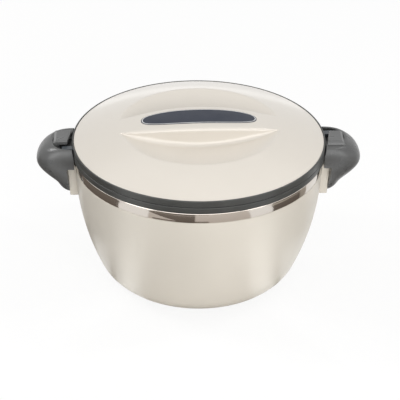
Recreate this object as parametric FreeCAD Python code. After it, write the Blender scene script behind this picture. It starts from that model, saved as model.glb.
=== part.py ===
import FreeCAD, Part

import math
import os

from FreeCAD import Vector

# Insulated serving casserole: a double-walled bowl with a foam-filled wall, two side
# handles and a foam-filled lid that twists under two hooks and then lifts off.
#
# Millimetres. The origin is on the bowl's axis, on the surface it stands on. +Z is up,
# +X runs along the handles, and -Y is the front. The right handle is drawn on +X, and
# the left one is the same piece turned half a turn about the axis.

# ------------------------------------------------------------------ driving sizes
# Bowl
base_radius = 82.3            # flat underside of the painted bowl
body_radius = 147.5           # painted bowl at its mouth
body_height = 152.5           # standing surface to the polished band
base_lift = 1.0               # height of the painted underside over the standing surface
foot_width = 8.0              # rubber ring on which the pot stands
side_turn = 67.0              # degrees from level at which the corner's arc meets the side's
shell_sheet = 0.8             # outer steel sheet
liner_sheet = 0.6             # inner steel sheet
mouth_radius = 127.0          # clear opening of the pot
liner_foot_radius = 66.0      # flat floor inside the pot
liner_floor = 24.0            # height of that floor
panel_radius = 67.0           # raised middle of the underside
panel_rise = 2.5              # how far it is raised
fill_radius = 9.0             # hole through which the wall is foamed
plug_flange = 4.0             # how far the plug's head reaches over that hole
plug_head = 1.4
cover_hole_radius = 6.3       # hole under the label through which the lid is foamed

# Band, collar and seam
band_height = 14.5
band_bulge = 0.4              # the band is slightly barrelled
band_inset = 0.5              # how far its edges stand in from the painted bowl
band_break = 0.3              # its edges are broken by this much
neck_step = 1.6               # how far the shell steps in behind the band
collar_height = 6.8
rim_radius = 150.0            # outside of collar and lid rim
rim_height = 8.0
seam = 0.5                    # open line between collar and lid rim
flange_width = 10.9           # liner flange that lies on the collar's ledge
collar_ledge = 3.2            # depth of that ledge under the collar's top
ledge_thickness = 3.4
collar_roof = 2.8             # collar over the top of the shell's neck
collar_legs = 3.8             # how far the collar's legs reach down past the band's top
leg_inner_wall = 2.4          # leg beside the liner
leg_outer_wall = 2.0          # leg beside the neck
moulded_round = 0.8           # rounding of moulded outer corners

# Lid
dome_rise = 27.0              # crown of the lid over the rim's top edge
cover_wall = 2.5
cover_lip = 1.7               # thickness of the rim's lip outside the cover
cover_step = 0.3              # cover's edge under the top of that lip
cover_seat = 3.3              # depth of the cover's seat under the top of the lip
rim_wall = 2.7                # rim's wall beside the tongues
dish_radius = 95.0            # round hollow for the fingers
dish_depth = 24.5             # under the crown of the lid
bridge_half_width = 28.6      # the grip left standing across the hollow, at its middle
bridge_end_half_width = 15.6  # and where it meets the hollow's edge
bridge_draft = 1.4            # how much wider the grip is at its foot
grip_turn = 2.0               # degrees by which the grip stands past the handles, lid unlocked
pan_radius = 123.5            # steel underside of the lid
pan_depth = 16.3              # how deep it hangs under its flange
pan_corner = 8.0
pan_flange_gap = 3.4          # from the pan's flange to the collar's ledge wall
seat_width = 6.2              # how far the rim's seat for the cover reaches in over the ledge
skirt_wall = 1.9              # skirt under the rim that centres the lid in the collar
skirt_gap = 0.6
gasket_width = 5.6
gasket_lip = 1.8
gasket_tip = 2.6              # from the gasket's outside to the line that seals
tongue_root_gap = 0.2         # round a tongue's root in the rim

# Label inlay on the grip
label_half_length = 68.0
label_half_width = 18.0
label_thickness = 1.2
label_proud = 0.2

# Handles
ear_root = 146.0              # where the two flanks of an ear start, inside the collar
ear_power = 2.6               # roundness of the ear seen from above
ear_levels = (                # height, reach from the axis, half width
    (118.6, 158.5, 17.0),
    (119.8, 162.2, 19.6),
    (123.0, 166.0, 22.0),
    (129.0, 170.2, 23.6),
    (137.0, 178.2, 26.4),
    (146.0, 187.2, 30.0),
    (155.0, 192.6, 32.2),
    (164.0, 191.6, 32.8),
    (171.0, 187.7, 32.1),
    (176.5, 182.1, 30.3),
    (180.0, 175.9, 28.2),
)
ear_wall = 4.5
core_half_width = 16.0
core_low = 123.5
core_high = 168.4
rib_thickness = 2.4
boss_wall = 0.6               # how much thicker a screw boss is than the tube it meets
thread_room = 1.0             # blind hole beyond a screw's tip

# Brackets between bowl and handle
bracket_half_width = 20.0
bracket_low = 114.0
bracket_high = 155.5
bracket_reach_low = 153.5     # outer face at its lower edge
bracket_reach_high = 155.8    # and at its upper edge
bracket_wall = 2.0
bracket_corner = 2.5
tube_radius = 5.4
bracket_root = 135.5          # where its walls start, before the bowl is cut away

# Twist lock
keeper_inner = 151.6          # hook block, nearest the lid
keeper_outer = 168.0
keeper_back = -15.2           # its closed end
keeper_front = 11.5           # its open end
keeper_lead_in = 4.0          # how far the hook is cut back at its open end
keeper_wall = 3.0             # end wall that stops the tongue
keeper_high = 184.0
keeper_chamfer = 1.6
keeper_outer_chamfer = 3.2    # along its outer side
pocket_floor = 172.5
pocket_reach = 172.5          # outer end of the pocket in front of the hook block
pocket_lip = 2.2              # wall left between the pocket and the ear's flank
pocket_back = -4.0            # how far the pocket runs back beside the hook block
slot_roof = 178.7
tongue_reach = 162.5
tongue_root = 140.5
tongue_first_angle = 4.7      # degrees from the handle's centre line, lid unlocked
tongue_last_angle = 8.0
tongue_thickness = 3.6
tongue_corner = 1.8

# Fasteners
handle_screw_radius = 2.5
handle_screw_length = 22.5
handle_screw_head = 4.5
handle_screw_heights = (128.0, 143.0)
keeper_screw_radius = 1.5
keeper_screw_length = 9.0
keeper_screw_head = 2.8
keeper_screw_sides = (-8.5, 7.0)
screw_head_height = 2.4
backing_thickness = 1.5
backing_half_width = 17.0
backing_low = 118.0

# Fits
fit_gap = 0.3                 # between curved neighbours
step_gap = 0.2                # between shell, band and collar where they stand on each other
screw_gap = 0.15              # round a screw
slot_gap = 0.6                # between a tongue's tip and the hook's outer wall
keeper_gap = 0.2              # round a hook block in its recess

# ------------------------------------------------------------------ levels and radii
band_high = body_height + band_height
collar_top = band_high + collar_height
rim_low = collar_top + seam
rim_high = rim_low + rim_height
crown = rim_high + dome_rise - cover_step
neck_radius = body_radius - neck_step
neck_top = collar_top - collar_roof
panel_low = base_lift + panel_rise
ledge_height = collar_top - collar_ledge
flange_top = ledge_height + liner_sheet
web_top = rim_high - cover_seat
web_low = web_top - cover_wall
cover_radius = rim_radius - cover_lip - fit_gap
cover_edge = rim_high - cover_step
dome_radius = (cover_radius ** 2 + (crown - cover_edge) ** 2) / (2 * (crown - cover_edge))
dish_floor = crown - dish_depth
collar_inner = mouth_radius + liner_sheet + fit_gap
ledge_radius = mouth_radius + flange_width + fit_gap
foam_top = band_high - collar_legs
backing_high = body_height - 2.0
skirt_outer = ledge_radius - skirt_gap
skirt_inner = skirt_outer - skirt_wall
seat_inner = ledge_radius - seat_width

shoulder_top = body_height - step_gap
shell_bowl = (base_radius, body_radius, base_lift, shoulder_top)
liner_bowl = (liner_foot_radius, mouth_radius, liner_floor, flange_top)

node_shapes = {}


# ------------------------------------------------------------------ drawing helpers
def disc(radius, low, high):
    """An upright cylinder on the axis."""
    return Part.makeCylinder(radius, high - low, Vector(0, 0, low))


def ring(inner, outer, low, high):
    """A plain ring on the axis."""
    return disc(outer, low, high).cut(disc(inner, low, high))


def block(near, far, left, right, low, high):
    """A box between two values of X, of Y and of Z."""
    return Part.makeBox(far - near, right - left, high - low, Vector(near, left, low))


def rod(radius, near, far, side, height):
    """A round bar along X."""
    return Part.makeCylinder(radius, far - near, Vector(near, side, height), Vector(1, 0, 0))


def left_of(shape):
    """The left-hand copy of a right-hand shape: half a turn about the axis."""
    copy = shape.copy()
    copy.rotate(Vector(0, 0, 0), Vector(0, 0, 1), 180)
    return copy


def side_prism(points, left, right):
    """A prism along Y whose section is drawn in X and Z."""
    corners = [Vector(x, left, z) for x, z in points]
    face = Part.Face(Part.makePolygon(corners + corners[:1]))
    return face.extrude(Vector(0, right - left, 0))


class Outline:
    """A closed outline in the plane of radius and height, drawn stroke by stroke."""

    def __init__(self, radius, height):
        self.first = Vector(radius, 0, height)
        self.pen = self.first
        self.edges = []

    def line(self, radius, height):
        target = Vector(radius, 0, height)
        self.edges.append(Part.LineSegment(self.pen, target).toShape())
        self.pen = target
        return self

    def arc(self, via, to):
        middle = Vector(via[0], 0, via[1])
        target = Vector(to[0], 0, to[1])
        self.edges.append(Part.Arc(self.pen, middle, target).toShape())
        self.pen = target
        return self

    def spin(self):
        """The solid swept by the outline in one turn about the axis, its seam at the back."""
        self.line(self.first.x, self.first.z)
        face = Part.Face(Part.Wire(self.edges))
        solid = face.revolve(Vector(0, 0, 0), Vector(0, 0, 1), 360)
        solid.rotate(Vector(0, 0, 0), Vector(0, 0, 1), 90)
        return solid


# ------------------------------------------------------------------ spun bowls
def bowl_arcs(bowl):
    """Radii of the two tangent arcs that lead from a bowl's flat foot to its upright mouth."""
    foot, mouth, low, high = bowl
    width = mouth - foot
    depth = high - low
    sine = math.sin(math.radians(side_turn))
    cosine = math.cos(math.radians(side_turn))
    corner = (width * cosine - depth * (1 - sine)) / (sine + cosine - 1)
    side = (depth * sine - width * (1 - cosine)) / (sine + cosine - 1)
    return corner, side


def side_centre(bowl):
    """Radius and height of the centre of a bowl's side arc."""
    foot, mouth, low, high = bowl
    side = bowl_arcs(bowl)[1]
    return mouth - side, high


def side_radius(bowl, height, inset):
    """Radius of a bowl's side at a height above its corner, drawn in by inset."""
    centre_radius, centre_height = side_centre(bowl)
    reach = bowl_arcs(bowl)[1] - inset
    return centre_radius + math.sqrt(reach ** 2 - (centre_height - height) ** 2)


def bowl_form(bowl, inset):
    """The filled bowl, its surface drawn in by inset, square to the surface."""
    foot, mouth, low, high = bowl
    corner, side = bowl_arcs(bowl)
    centre_radius, centre_height = side_centre(bowl)

    def on_corner(degrees):
        lean = math.radians(degrees)
        reach = corner - inset
        return foot + reach * math.sin(lean), low + corner - reach * math.cos(lean)

    def on_side(degrees):
        lean = math.radians(degrees)
        reach = side - inset
        return centre_radius + reach * math.sin(lean), centre_height - reach * math.cos(lean)

    outline = Outline(0, low + inset)
    outline.line(foot, low + inset)
    outline.arc(on_corner(0.5 * side_turn), on_corner(side_turn))
    outline.arc(on_side(0.5 * (side_turn + 90)), on_side(90))
    outline.line(0, high)
    return outline.spin()


# ------------------------------------------------------------------ pot
def make_outer_shell():
    """Spun steel bowl, stepped in at the top to carry the band, with a raised panel below."""
    shoulder_low = shoulder_top - shell_sheet
    neck_inner = neck_radius - shell_sheet
    walls = bowl_form(shell_bowl, 0).cut(bowl_form(shell_bowl, shell_sheet))
    walls = walls.cut(disc(panel_radius, 0, panel_low))
    shoulder = ring(neck_inner, body_radius, shoulder_low, shoulder_top)
    neck = ring(neck_inner, neck_radius, shoulder_low, neck_top)
    panel = disc(panel_radius + shell_sheet, base_lift, panel_low + shell_sheet)
    panel = panel.cut(disc(panel_radius, 0, panel_low))
    for bore in handle_screw_bores():
        walls = walls.cut(bore)
    panel = panel.cut(disc(fill_radius, 0, panel_low + 2 * shell_sheet))
    return walls.fuse([shoulder, neck, panel]).removeSplitter()


def make_inner_liner():
    """Drawn steel liner with an out-turned flange at its mouth."""
    walls = bowl_form(liner_bowl, -liner_sheet).cut(bowl_form(liner_bowl, 0))
    flange = ring(mouth_radius, mouth_radius + flange_width, ledge_height, flange_top)
    liner = walls.fuse(flange).removeSplitter()
    mouth_edges = [edge for edge in liner.Edges if is_circle(edge, mouth_radius, flange_top)]
    return liner.makeFillet(0.6 * liner_sheet, mouth_edges)


def is_circle(edge, radius, height):
    """Whether an edge is the circle of that radius at that height."""
    box = edge.BoundBox
    flat = box.ZLength < 0.001 and abs(box.ZMin - height) < 0.001
    return flat and abs(box.XLength - 2 * radius) < 0.001


def make_body_foam():
    """Rigid foam between shell and liner, with room for the handle fixings."""
    outside = bowl_form(shell_bowl, shell_sheet + fit_gap)
    trim = body_height - 3.0
    outside = outside.common(disc(2 * body_radius, 0, trim))
    outside = outside.fuse(disc(neck_radius - shell_sheet - fit_gap, trim - 1.0, foam_top))
    panel = disc(panel_radius + shell_sheet + fit_gap, 0, panel_low + shell_sheet + fit_gap)
    inside = bowl_form(liner_bowl, -(liner_sheet + fit_gap))
    foam = outside.cut(panel).cut(inside)
    room = block(
        screw_seat(handle_screw_heights[0]) - screw_head_height - 1.5,
        body_radius,
        -backing_half_width - 1.0,
        backing_half_width + 1.0,
        backing_low - 1.0,
        body_height,
    )
    return foam.cut(room).cut(left_of(room))


def make_rim_band():
    """Polished trim ring round the shell's neck."""
    inner = neck_radius + fit_gap
    low = body_height + 0.5 * step_gap
    high = band_high - step_gap
    outer = body_radius - band_inset
    outline = Outline(inner, low)
    outline.line(outer - band_break, low)
    outline.line(outer, low + band_break)
    outline.arc((outer + band_bulge, 0.5 * (low + high)), (outer, high - band_break))
    outline.line(outer - band_break, high)
    outline.line(inner, high)
    return outline.spin()


def make_rim_collar():
    """Moulded collar that joins shell and liner and closes the wall's top."""
    groove_inner = neck_radius - shell_sheet - step_gap
    groove_outer = neck_radius + step_gap
    leg = foam_top + fit_gap
    ledge_low = ledge_height - ledge_thickness
    underside = band_high + 0.5 * step_gap
    round_off = moulded_round
    outline = Outline(rim_radius, underside)
    outline.line(rim_radius, collar_top - round_off)
    outline.arc(
        (rim_radius - 0.3 * round_off, collar_top - 0.3 * round_off),
        (rim_radius - round_off, collar_top),
    )
    outline.line(ledge_radius, collar_top)
    outline.line(ledge_radius, ledge_height)
    outline.line(collar_inner, ledge_height)
    outline.line(collar_inner, leg)
    outline.line(collar_inner + leg_inner_wall, leg)
    outline.line(collar_inner + leg_inner_wall, ledge_low)
    outline.line(groove_inner - leg_outer_wall, ledge_low)
    outline.line(groove_inner - leg_outer_wall, leg)
    outline.line(groove_inner, leg)
    outline.line(groove_inner, neck_top + fit_gap)
    outline.line(groove_outer, neck_top + fit_gap)
    outline.line(groove_outer, underside)
    return outline.spin()


def make_foot_ring():
    """Rubber ring let into the underside, on which the pot stands."""
    outer = panel_radius - fit_gap
    inner = outer - foot_width
    round_off = moulded_round
    outline = Outline(inner, panel_low)
    outline.line(inner, round_off)
    outline.arc((inner + 0.3 * round_off, 0.3 * round_off), (inner + round_off, 0))
    outline.line(outer - round_off, 0)
    outline.arc((outer - 0.3 * round_off, 0.3 * round_off), (outer, round_off))
    outline.line(outer, panel_low)
    return outline.spin()


def make_foam_plug():
    """Plug that shuts the filling hole under the base."""
    stem = disc(fill_radius - step_gap, panel_low, panel_low + shell_sheet + step_gap)
    head = disc(fill_radius + plug_flange, panel_low - plug_head, panel_low)
    return stem.fuse(head).removeSplitter()


# ------------------------------------------------------------------ handle fixings
def screw_seat(height):
    """X at which a screw's head meets the backing plate, which leans in below the head."""
    plate_inset = shell_sheet + fit_gap + backing_thickness
    return side_radius(shell_bowl, height - handle_screw_head, plate_inset) - 0.5 * fit_gap


def handle_screw_bores():
    """Clearance holes for the screws of both handles."""
    radius = handle_screw_radius + screw_gap
    far = bracket_reach_high + 2
    bores = [rod(radius, mouth_radius, far, 0, z) for z in handle_screw_heights]
    return bores + [left_of(bore) for bore in bores]


def make_handle_bracket():
    """Open-backed standoff welded to the bowl: four walls, a web and two screw tubes."""
    face = ((bracket_low, bracket_reach_low), (bracket_high, bracket_reach_high))

    def slab(inset, left, right):
        low = bracket_low + inset
        high = bracket_high - inset
        points = (
            (bracket_root, low),
            (web_face(low) - inset, low),
            (web_face(high) - inset, high),
            (bracket_root, high),
        )
        return side_prism(points, left, right)

    def web_face(height):
        share = (height - face[0][0]) / (face[1][0] - face[0][0])
        return face[0][1] + share * (face[1][1] - face[0][1])

    outside = slab(0, -bracket_half_width, bracket_half_width)
    outside = outside.makeFillet(bracket_corner, [e for e in outside.Edges if runs_outward(e)])
    inner_half_width = bracket_half_width - bracket_wall
    inside = slab(bracket_wall, -inner_half_width, inner_half_width)
    tubes = [
        rod(tube_radius, bracket_root, web_face(z) - 1.0, 0, z) for z in handle_screw_heights
    ]
    bracket = outside.cut(inside).fuse(tubes)
    bracket = bracket.cut(bowl_form(shell_bowl, -fit_gap))
    bracket = bracket.cut(disc(body_radius + fit_gap, body_height - 1.0, bracket_high + 1.0))
    return bracket.cut(handle_screw_bores()).removeSplitter()


def runs_outward(edge):
    """Whether an edge is one of a bracket's four long corners."""
    box = edge.BoundBox
    return box.YLength < 0.001 and box.XLength > 10 and box.ZLength < 0.001


def make_backing_plate():
    """Plate inside the shell that spreads the pull of one handle's screws."""
    near = bowl_form(shell_bowl, shell_sheet + fit_gap + backing_thickness)
    far = bowl_form(shell_bowl, shell_sheet + fit_gap)
    window = block(
        mouth_radius,
        body_radius,
        -backing_half_width,
        backing_half_width,
        backing_low,
        backing_high,
    )
    return far.cut(near).common(window).cut(handle_screw_bores())


def make_handle_screws():
    """Four pan-head screws driven outward from inside the wall."""
    screws = []
    for height in handle_screw_heights:
        seat = screw_seat(height)
        head = rod(handle_screw_head, seat - screw_head_height, seat, 0, height)
        shank = rod(handle_screw_radius, seat, seat + handle_screw_length, 0, height)
        screw = head.fuse(shank).removeSplitter()
        screws += [screw, left_of(screw)]
    return Part.makeCompound(screws)


# ------------------------------------------------------------------ handles
def ear_outline(reach, half_width, height):
    """One level of an ear: a rounded nose between two flanks, closed by a straight back."""
    points = []
    for step in range(13):
        angle = math.pi * (step / 12 - 0.5)
        forward = math.cos(angle) ** (2.0 / ear_power) if 0 < step < 12 else 0.0
        sideways = math.copysign(abs(math.sin(angle)) ** (2.0 / ear_power), angle)
        nose = ear_root + (reach - ear_root) * forward
        points.append(Vector(nose, half_width * sideways, height))
    spline = Part.BSplineCurve()
    spline.interpolate(points)
    back = Part.LineSegment(points[-1], points[0]).toShape()
    return Part.Wire([spline.toShape(), back])


def ear_form(inset):
    """The ear's outer form, lofted through its levels, drawn in by inset."""
    levels = [
        ear_outline(reach - inset, half_width - inset, height)
        for height, reach, half_width in ear_levels
    ]
    return Part.makeLoft(levels, True, False)


def keeper_plan(low, high):
    """The hook block's outline seen from above, as a prism, cut back where the tongue comes in."""
    corners = [
        Vector(keeper_inner, keeper_back, low),
        Vector(keeper_outer, keeper_back, low),
        Vector(keeper_outer, keeper_front, low),
        Vector(keeper_inner + keeper_lead_in, keeper_front, low),
    ]
    face = Part.Face(Part.makePolygon(corners + corners[:1]))
    return face.extrude(Vector(0, 0, high - low))


def keeper_screw_spots():
    """Where a hook block's two screws stand."""
    outer_wall_middle = 0.5 * (tongue_reach + slot_gap + keeper_outer)
    return [Vector(outer_wall_middle, side, 0) for side in keeper_screw_sides]


def keeper_screw_bores(radius, low, high):
    """Upright holes for a hook block's two screws."""
    bores = [
        Part.makeCylinder(radius, high - low, spot + Vector(0, 0, low))
        for spot in keeper_screw_spots()
    ]
    return bores[0].fuse(bores[1:])


def make_handle():
    """Moulded ear: smooth outside, cored out behind, with ribs, bosses and the lock pocket."""
    ear = ear_form(0)
    above = ear_levels[-1][0] + 10
    over_bracket = bracket_high + fit_gap
    bracket_side = side_prism(
        (
            (0, bracket_low - 10),
            (bracket_reach_low - 10 * web_slope(), bracket_low - 10),
            (bracket_reach_high + fit_gap * web_slope(), over_bracket),
            (0, over_bracket),
        ),
        -2 * bracket_half_width,
        2 * bracket_half_width,
    )
    ear = ear.cut(bracket_side)
    ear = ear.cut(disc(rim_radius + fit_gap, over_bracket - 1, collar_top + 0.1))
    ear = ear.cut(disc(rim_radius + 1.2, collar_top, above))

    core = ear_form(ear_wall).common(
        block(ear_root - 4, 2 * rim_radius, -core_half_width, core_half_width, core_low, core_high)
    )
    half_rib = 0.5 * rib_thickness
    middle = 0.5 * sum(handle_screw_heights)
    over_boss = handle_screw_heights[-1] + tube_radius
    far = 2 * rim_radius
    cross_rib = block(
        0, far, -core_half_width, core_half_width, middle - half_rib, middle + half_rib
    )
    upright_rib = block(0, far, -half_rib, half_rib, over_boss, core_high)
    bosses = [rod(tube_radius + boss_wall, 0, far, 0, z) for z in handle_screw_heights]
    ear = ear.cut(core.cut([cross_rib, upright_rib] + bosses))

    for height in handle_screw_heights:
        end = screw_seat(height) + handle_screw_length + thread_room
        ear = ear.cut(rod(handle_screw_radius + screw_gap, rim_radius, end, 0, height))

    pocket_side = ear_levels[-1][2] - pocket_lip
    pocket = Part.Face(ear_outline(pocket_reach, pocket_side, pocket_floor))
    pocket = pocket.extrude(Vector(0, 0, above - pocket_floor))
    pocket = pocket.common(block(0, far, pocket_back, far, 0, above))
    ear = ear.cut(pocket)
    recess = block(
        ear_root,
        keeper_outer + keeper_gap,
        keeper_back - keeper_gap,
        keeper_front + keeper_gap,
        pocket_floor,
        above,
    )
    ear = ear.cut(recess)
    ear = ear.cut(keeper_screw_bores(keeper_screw_radius + screw_gap, core_high - 1, above))
    return ear.removeSplitter()


def web_slope():
    """How much further out the bracket's face stands for each millimetre of height."""
    return (bracket_reach_high - bracket_reach_low) / (bracket_high - bracket_low)


def make_lock_keeper():
    """Hook block: a roof over the tongue's path, an outer wall and an end stop."""
    keeper = keeper_plan(pocket_floor, keeper_high)
    top_edges = [edge for edge in keeper.Edges if edge.BoundBox.ZMin > keeper_high - 0.001]
    keeper = keeper.makeChamfer(keeper_chamfer, top_edges)
    bevel = side_prism(
        (
            (keeper_outer - keeper_outer_chamfer, keeper_high),
            (keeper_outer + 1, keeper_high),
            (keeper_outer + 1, keeper_high - keeper_outer_chamfer - 1),
        ),
        keeper_back,
        keeper_front,
    )
    keeper = keeper.cut(bevel)
    slot = block(
        0,
        tongue_reach + slot_gap,
        keeper_back + keeper_wall,
        keeper_front + 1,
        pocket_floor - 1,
        slot_roof,
    )
    keeper = keeper.cut(slot)
    hole_top = core_high + keeper_screw_length + 0.5
    bores = keeper_screw_bores(keeper_screw_radius + screw_gap, 0, hole_top)
    return keeper.cut(bores).removeSplitter()


def make_keeper_screws():
    """Four small screws driven up from inside the handles into the hook blocks."""
    screws = []
    for spot in keeper_screw_spots():
        seat = spot + Vector(0, 0, core_high)
        head = Part.makeCylinder(keeper_screw_head, screw_head_height, seat, Vector(0, 0, -1))
        shank = Part.makeCylinder(keeper_screw_radius, keeper_screw_length, seat)
        screw = head.fuse(shank).removeSplitter()
        screws += [screw, left_of(screw)]
    return Part.makeCompound(screws)


# ------------------------------------------------------------------ lid
def dome_form(inset, low):
    """The filled dome of the lid, drawn in by inset."""
    radius = dome_radius - inset
    centre = crown - dome_radius
    edge = cover_radius - inset

    def surface(distance):
        return centre + math.sqrt(radius ** 2 - distance ** 2)

    outline = Outline(0, low)
    outline.line(edge, low)
    outline.line(edge, surface(edge))
    outline.arc((0.5 * edge, surface(0.5 * edge)), (0, surface(0)))
    return outline.spin()


def dish_form(inset):
    """The space above the round hollow; a positive inset lowers its floor."""
    rim_drop = dome_radius - math.sqrt(dome_radius ** 2 - dish_radius ** 2)
    hollow = dish_depth - rim_drop
    radius = (dish_radius ** 2 + hollow ** 2) / (2 * hollow)
    centre = dish_floor + radius
    reach = dish_radius + 12.0

    def surface(distance):
        return centre - math.sqrt((radius + inset) ** 2 - distance ** 2)

    outline = Outline(0, surface(0))
    outline.arc((0.5 * reach, surface(0.5 * reach)), (reach, surface(reach)))
    outline.line(reach, crown + 10)
    outline.line(0, crown + 10)
    return outline.spin()


def bridge_wire(half_width, height):
    """The grip's outline seen from above: two shallow arcs joined by straight ends."""
    sag = bridge_half_width - bridge_end_half_width
    bow = (dish_radius ** 2 + sag ** 2) / (2 * sag)
    reach = dish_radius + 20.0
    end = half_width - (bow - math.sqrt(bow ** 2 - reach ** 2))
    front = Part.Arc(
        Vector(-reach, -end, height), Vector(0, -half_width, height), Vector(reach, -end, height)
    )
    right = Part.LineSegment(Vector(reach, -end, height), Vector(reach, end, height))
    back = Part.Arc(
        Vector(reach, end, height), Vector(0, half_width, height), Vector(-reach, end, height)
    )
    left = Part.LineSegment(Vector(-reach, end, height), Vector(-reach, -end, height))
    return Part.Wire([stroke.toShape() for stroke in (front, right, back, left)])


def bridge_form(inset):
    """The grip's walls as one block, a little wider at the foot."""
    low = dish_floor - 20.0
    per_height = bridge_draft / dish_depth
    foot = bridge_wire(bridge_half_width - inset + (crown - low) * per_height, low)
    top = bridge_wire(bridge_half_width - inset - 20.0 * per_height, crown + 20.0)
    return Part.makeLoft([foot, top], True, True)


def lid_form(inset, low):
    """The lid's outer form drawn in by inset: a dome with two hollows beside the grip."""
    hollows = dish_form(inset).cut(bridge_form(inset))
    return dome_form(inset, low).cut(hollows)


def with_grip_turned(shape):
    """The shape turned about the axis to where the grip stands while the lid is unlocked."""
    shape.rotate(Vector(0, 0, 0), Vector(0, 0, 1), grip_turn)
    return shape


def label_prism(shrink):
    """An upright block on the label's oval outline."""
    oval = Part.Ellipse(Vector(0, 0, 0), label_half_length - shrink, label_half_width - shrink)
    face = Part.Face(Part.Wire(oval.toShape()))
    face.translate(Vector(0, 0, dish_floor))
    return face.extrude(Vector(0, 0, 2 * dish_depth))


def make_lid_cover():
    """Moulded lid cover with an oval recess for the label inlay."""
    cover = lid_form(0, web_top).cut(lid_form(cover_wall, web_top - 10))
    recess_floor = dome_form(label_thickness - label_proud + 0.5 * fit_gap, web_top)
    recess = label_prism(-0.5 * fit_gap).cut(recess_floor)
    fill_hole = disc(cover_hole_radius, dish_floor, crown + 10)
    return with_grip_turned(cover.cut(recess).cut(fill_hole).removeSplitter())


def make_label_plate():
    """Thin oval inlay that follows the crown of the grip."""
    above = dome_form(-label_proud, web_top)
    below = dome_form(label_thickness - label_proud, web_top)
    return with_grip_turned(label_prism(0).common(above).cut(below))


def make_lid_foam():
    """Rigid foam between cover and steel underside."""
    wall = pan_radius - liner_sheet - fit_gap
    floor = pan_floor() + liner_sheet + fit_gap
    web_inner = seat_inner - fit_gap
    round_in = pan_corner * (1 - math.sin(math.pi / 4))
    outline = Outline(0, floor)
    outline.line(wall - pan_corner, floor)
    outline.arc((wall - round_in, floor + round_in), (wall, floor + pan_corner))
    outline.line(wall, web_low + fit_gap)
    outline.line(web_inner, web_low + fit_gap)
    outline.line(web_inner, web_top + fit_gap)
    outline.line(cover_radius - cover_wall - 1.0, web_top + fit_gap)
    outline.line(cover_radius - cover_wall - 1.0, crown)
    outline.line(0, crown)
    return with_grip_turned(outline.spin().common(lid_form(cover_wall + fit_gap, floor - 10)))


def pan_floor():
    """Height of the lid's steel underside."""
    return web_low - pan_depth


def make_lid_liner():
    """Drawn steel pan under the lid, hung by its flange."""
    floor = pan_floor()
    inner = pan_radius - liner_sheet
    lean = math.sin(math.pi / 4)
    flange = ledge_radius - pan_flange_gap
    outline = Outline(0, floor)
    outline.line(pan_radius - pan_corner, floor)
    outline.arc(
        (pan_radius - pan_corner * (1 - lean), floor + pan_corner * (1 - lean)),
        (pan_radius, floor + pan_corner),
    )
    outline.line(pan_radius, web_low - liner_sheet)
    outline.line(flange, web_low - liner_sheet)
    outline.line(flange, web_low)
    outline.line(inner, web_low)
    outline.line(inner, floor + pan_corner)
    corner = pan_corner - liner_sheet
    outline.arc(
        (inner - corner * (1 - lean), floor + liner_sheet + corner * (1 - lean)),
        (inner - corner, floor + liner_sheet),
    )
    outline.line(0, floor + liner_sheet)
    return outline.spin()


def make_lid_rim():
    """Moulded ring round the lid, with the seat for the cover and the gasket's skirt."""
    round_off = 0.9
    skirt_low = flange_top + 1.0
    step = rim_radius - rim_wall
    outline = Outline(rim_radius - 0.4, rim_low)
    outline.line(rim_radius, rim_low + 0.4)
    outline.line(rim_radius, rim_high - round_off)
    outline.arc(
        (rim_radius - 0.3 * round_off, rim_high - 0.3 * round_off),
        (rim_radius - round_off, rim_high),
    )
    outline.line(rim_radius - cover_lip, rim_high)
    outline.line(rim_radius - cover_lip, web_top)
    outline.line(seat_inner, web_top)
    outline.line(seat_inner, web_low)
    outline.line(skirt_inner, web_low)
    outline.line(skirt_inner, skirt_low)
    outline.line(skirt_outer, skirt_low)
    outline.line(skirt_outer, web_low)
    outline.line(step, web_low)
    outline.line(step, rim_low)
    rim = outline.spin()
    root = tongue_root - tongue_root_gap
    turn_gap = math.degrees(tongue_root_gap / rim_radius)
    top = rim_low + tongue_thickness
    right = tongue_sector(root, rim_radius + 1, turn_gap, rim_low - 1, top)
    return rim.cut([right, left_of(right)]).removeSplitter()


def tongue_sector(inner, outer, grow, low, high):
    """Part of a ring over the angle that a tongue takes up, drawn out by grow degrees."""
    start = tongue_first_angle - grow
    sweep = tongue_last_angle + grow - start
    sector = Part.makeCylinder(outer, high - low, Vector(0, 0, low), Vector(0, 0, 1), sweep)
    sector = sector.cut(disc(inner, low, high))
    sector.rotate(Vector(0, 0, 0), Vector(0, 0, 1), start)
    return sector


def make_lid_tongues():
    """Two tongues moulded into the lid's rim that slide under the hook blocks."""
    tongue = tongue_sector(tongue_root, tongue_reach, 0, rim_low, rim_low + tongue_thickness)
    tip_edges = [edge for edge in tongue.Edges if is_tip_corner(edge)]
    tongue = tongue.makeFillet(tongue_corner, tip_edges)
    return Part.makeCompound([tongue, left_of(tongue)])


def is_tip_corner(edge):
    """Whether an edge is an upright corner at a tongue's tip."""
    box = edge.BoundBox
    upright = box.ZLength > 1 and box.XLength < 0.001 and box.YLength < 0.001
    return upright and math.hypot(box.XMin, box.YMin) > tongue_reach - 1


def make_lid_gasket():
    """Soft ring under the lid that presses on the liner's flange."""
    outer = skirt_inner - fit_gap
    inner = outer - gasket_width
    top = web_low - liner_sheet - fit_gap
    tip = flange_top + fit_gap
    outline = Outline(inner, top)
    outline.line(outer, top)
    outline.line(outer, top - gasket_lip)
    outline.line(outer - gasket_lip, tip + 0.3)
    outline.arc((outer - gasket_tip, tip), (outer - 2 * gasket_tip + gasket_lip, tip + 0.3))
    outline.line(inner, top - 2.0)
    return outline.spin()


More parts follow.
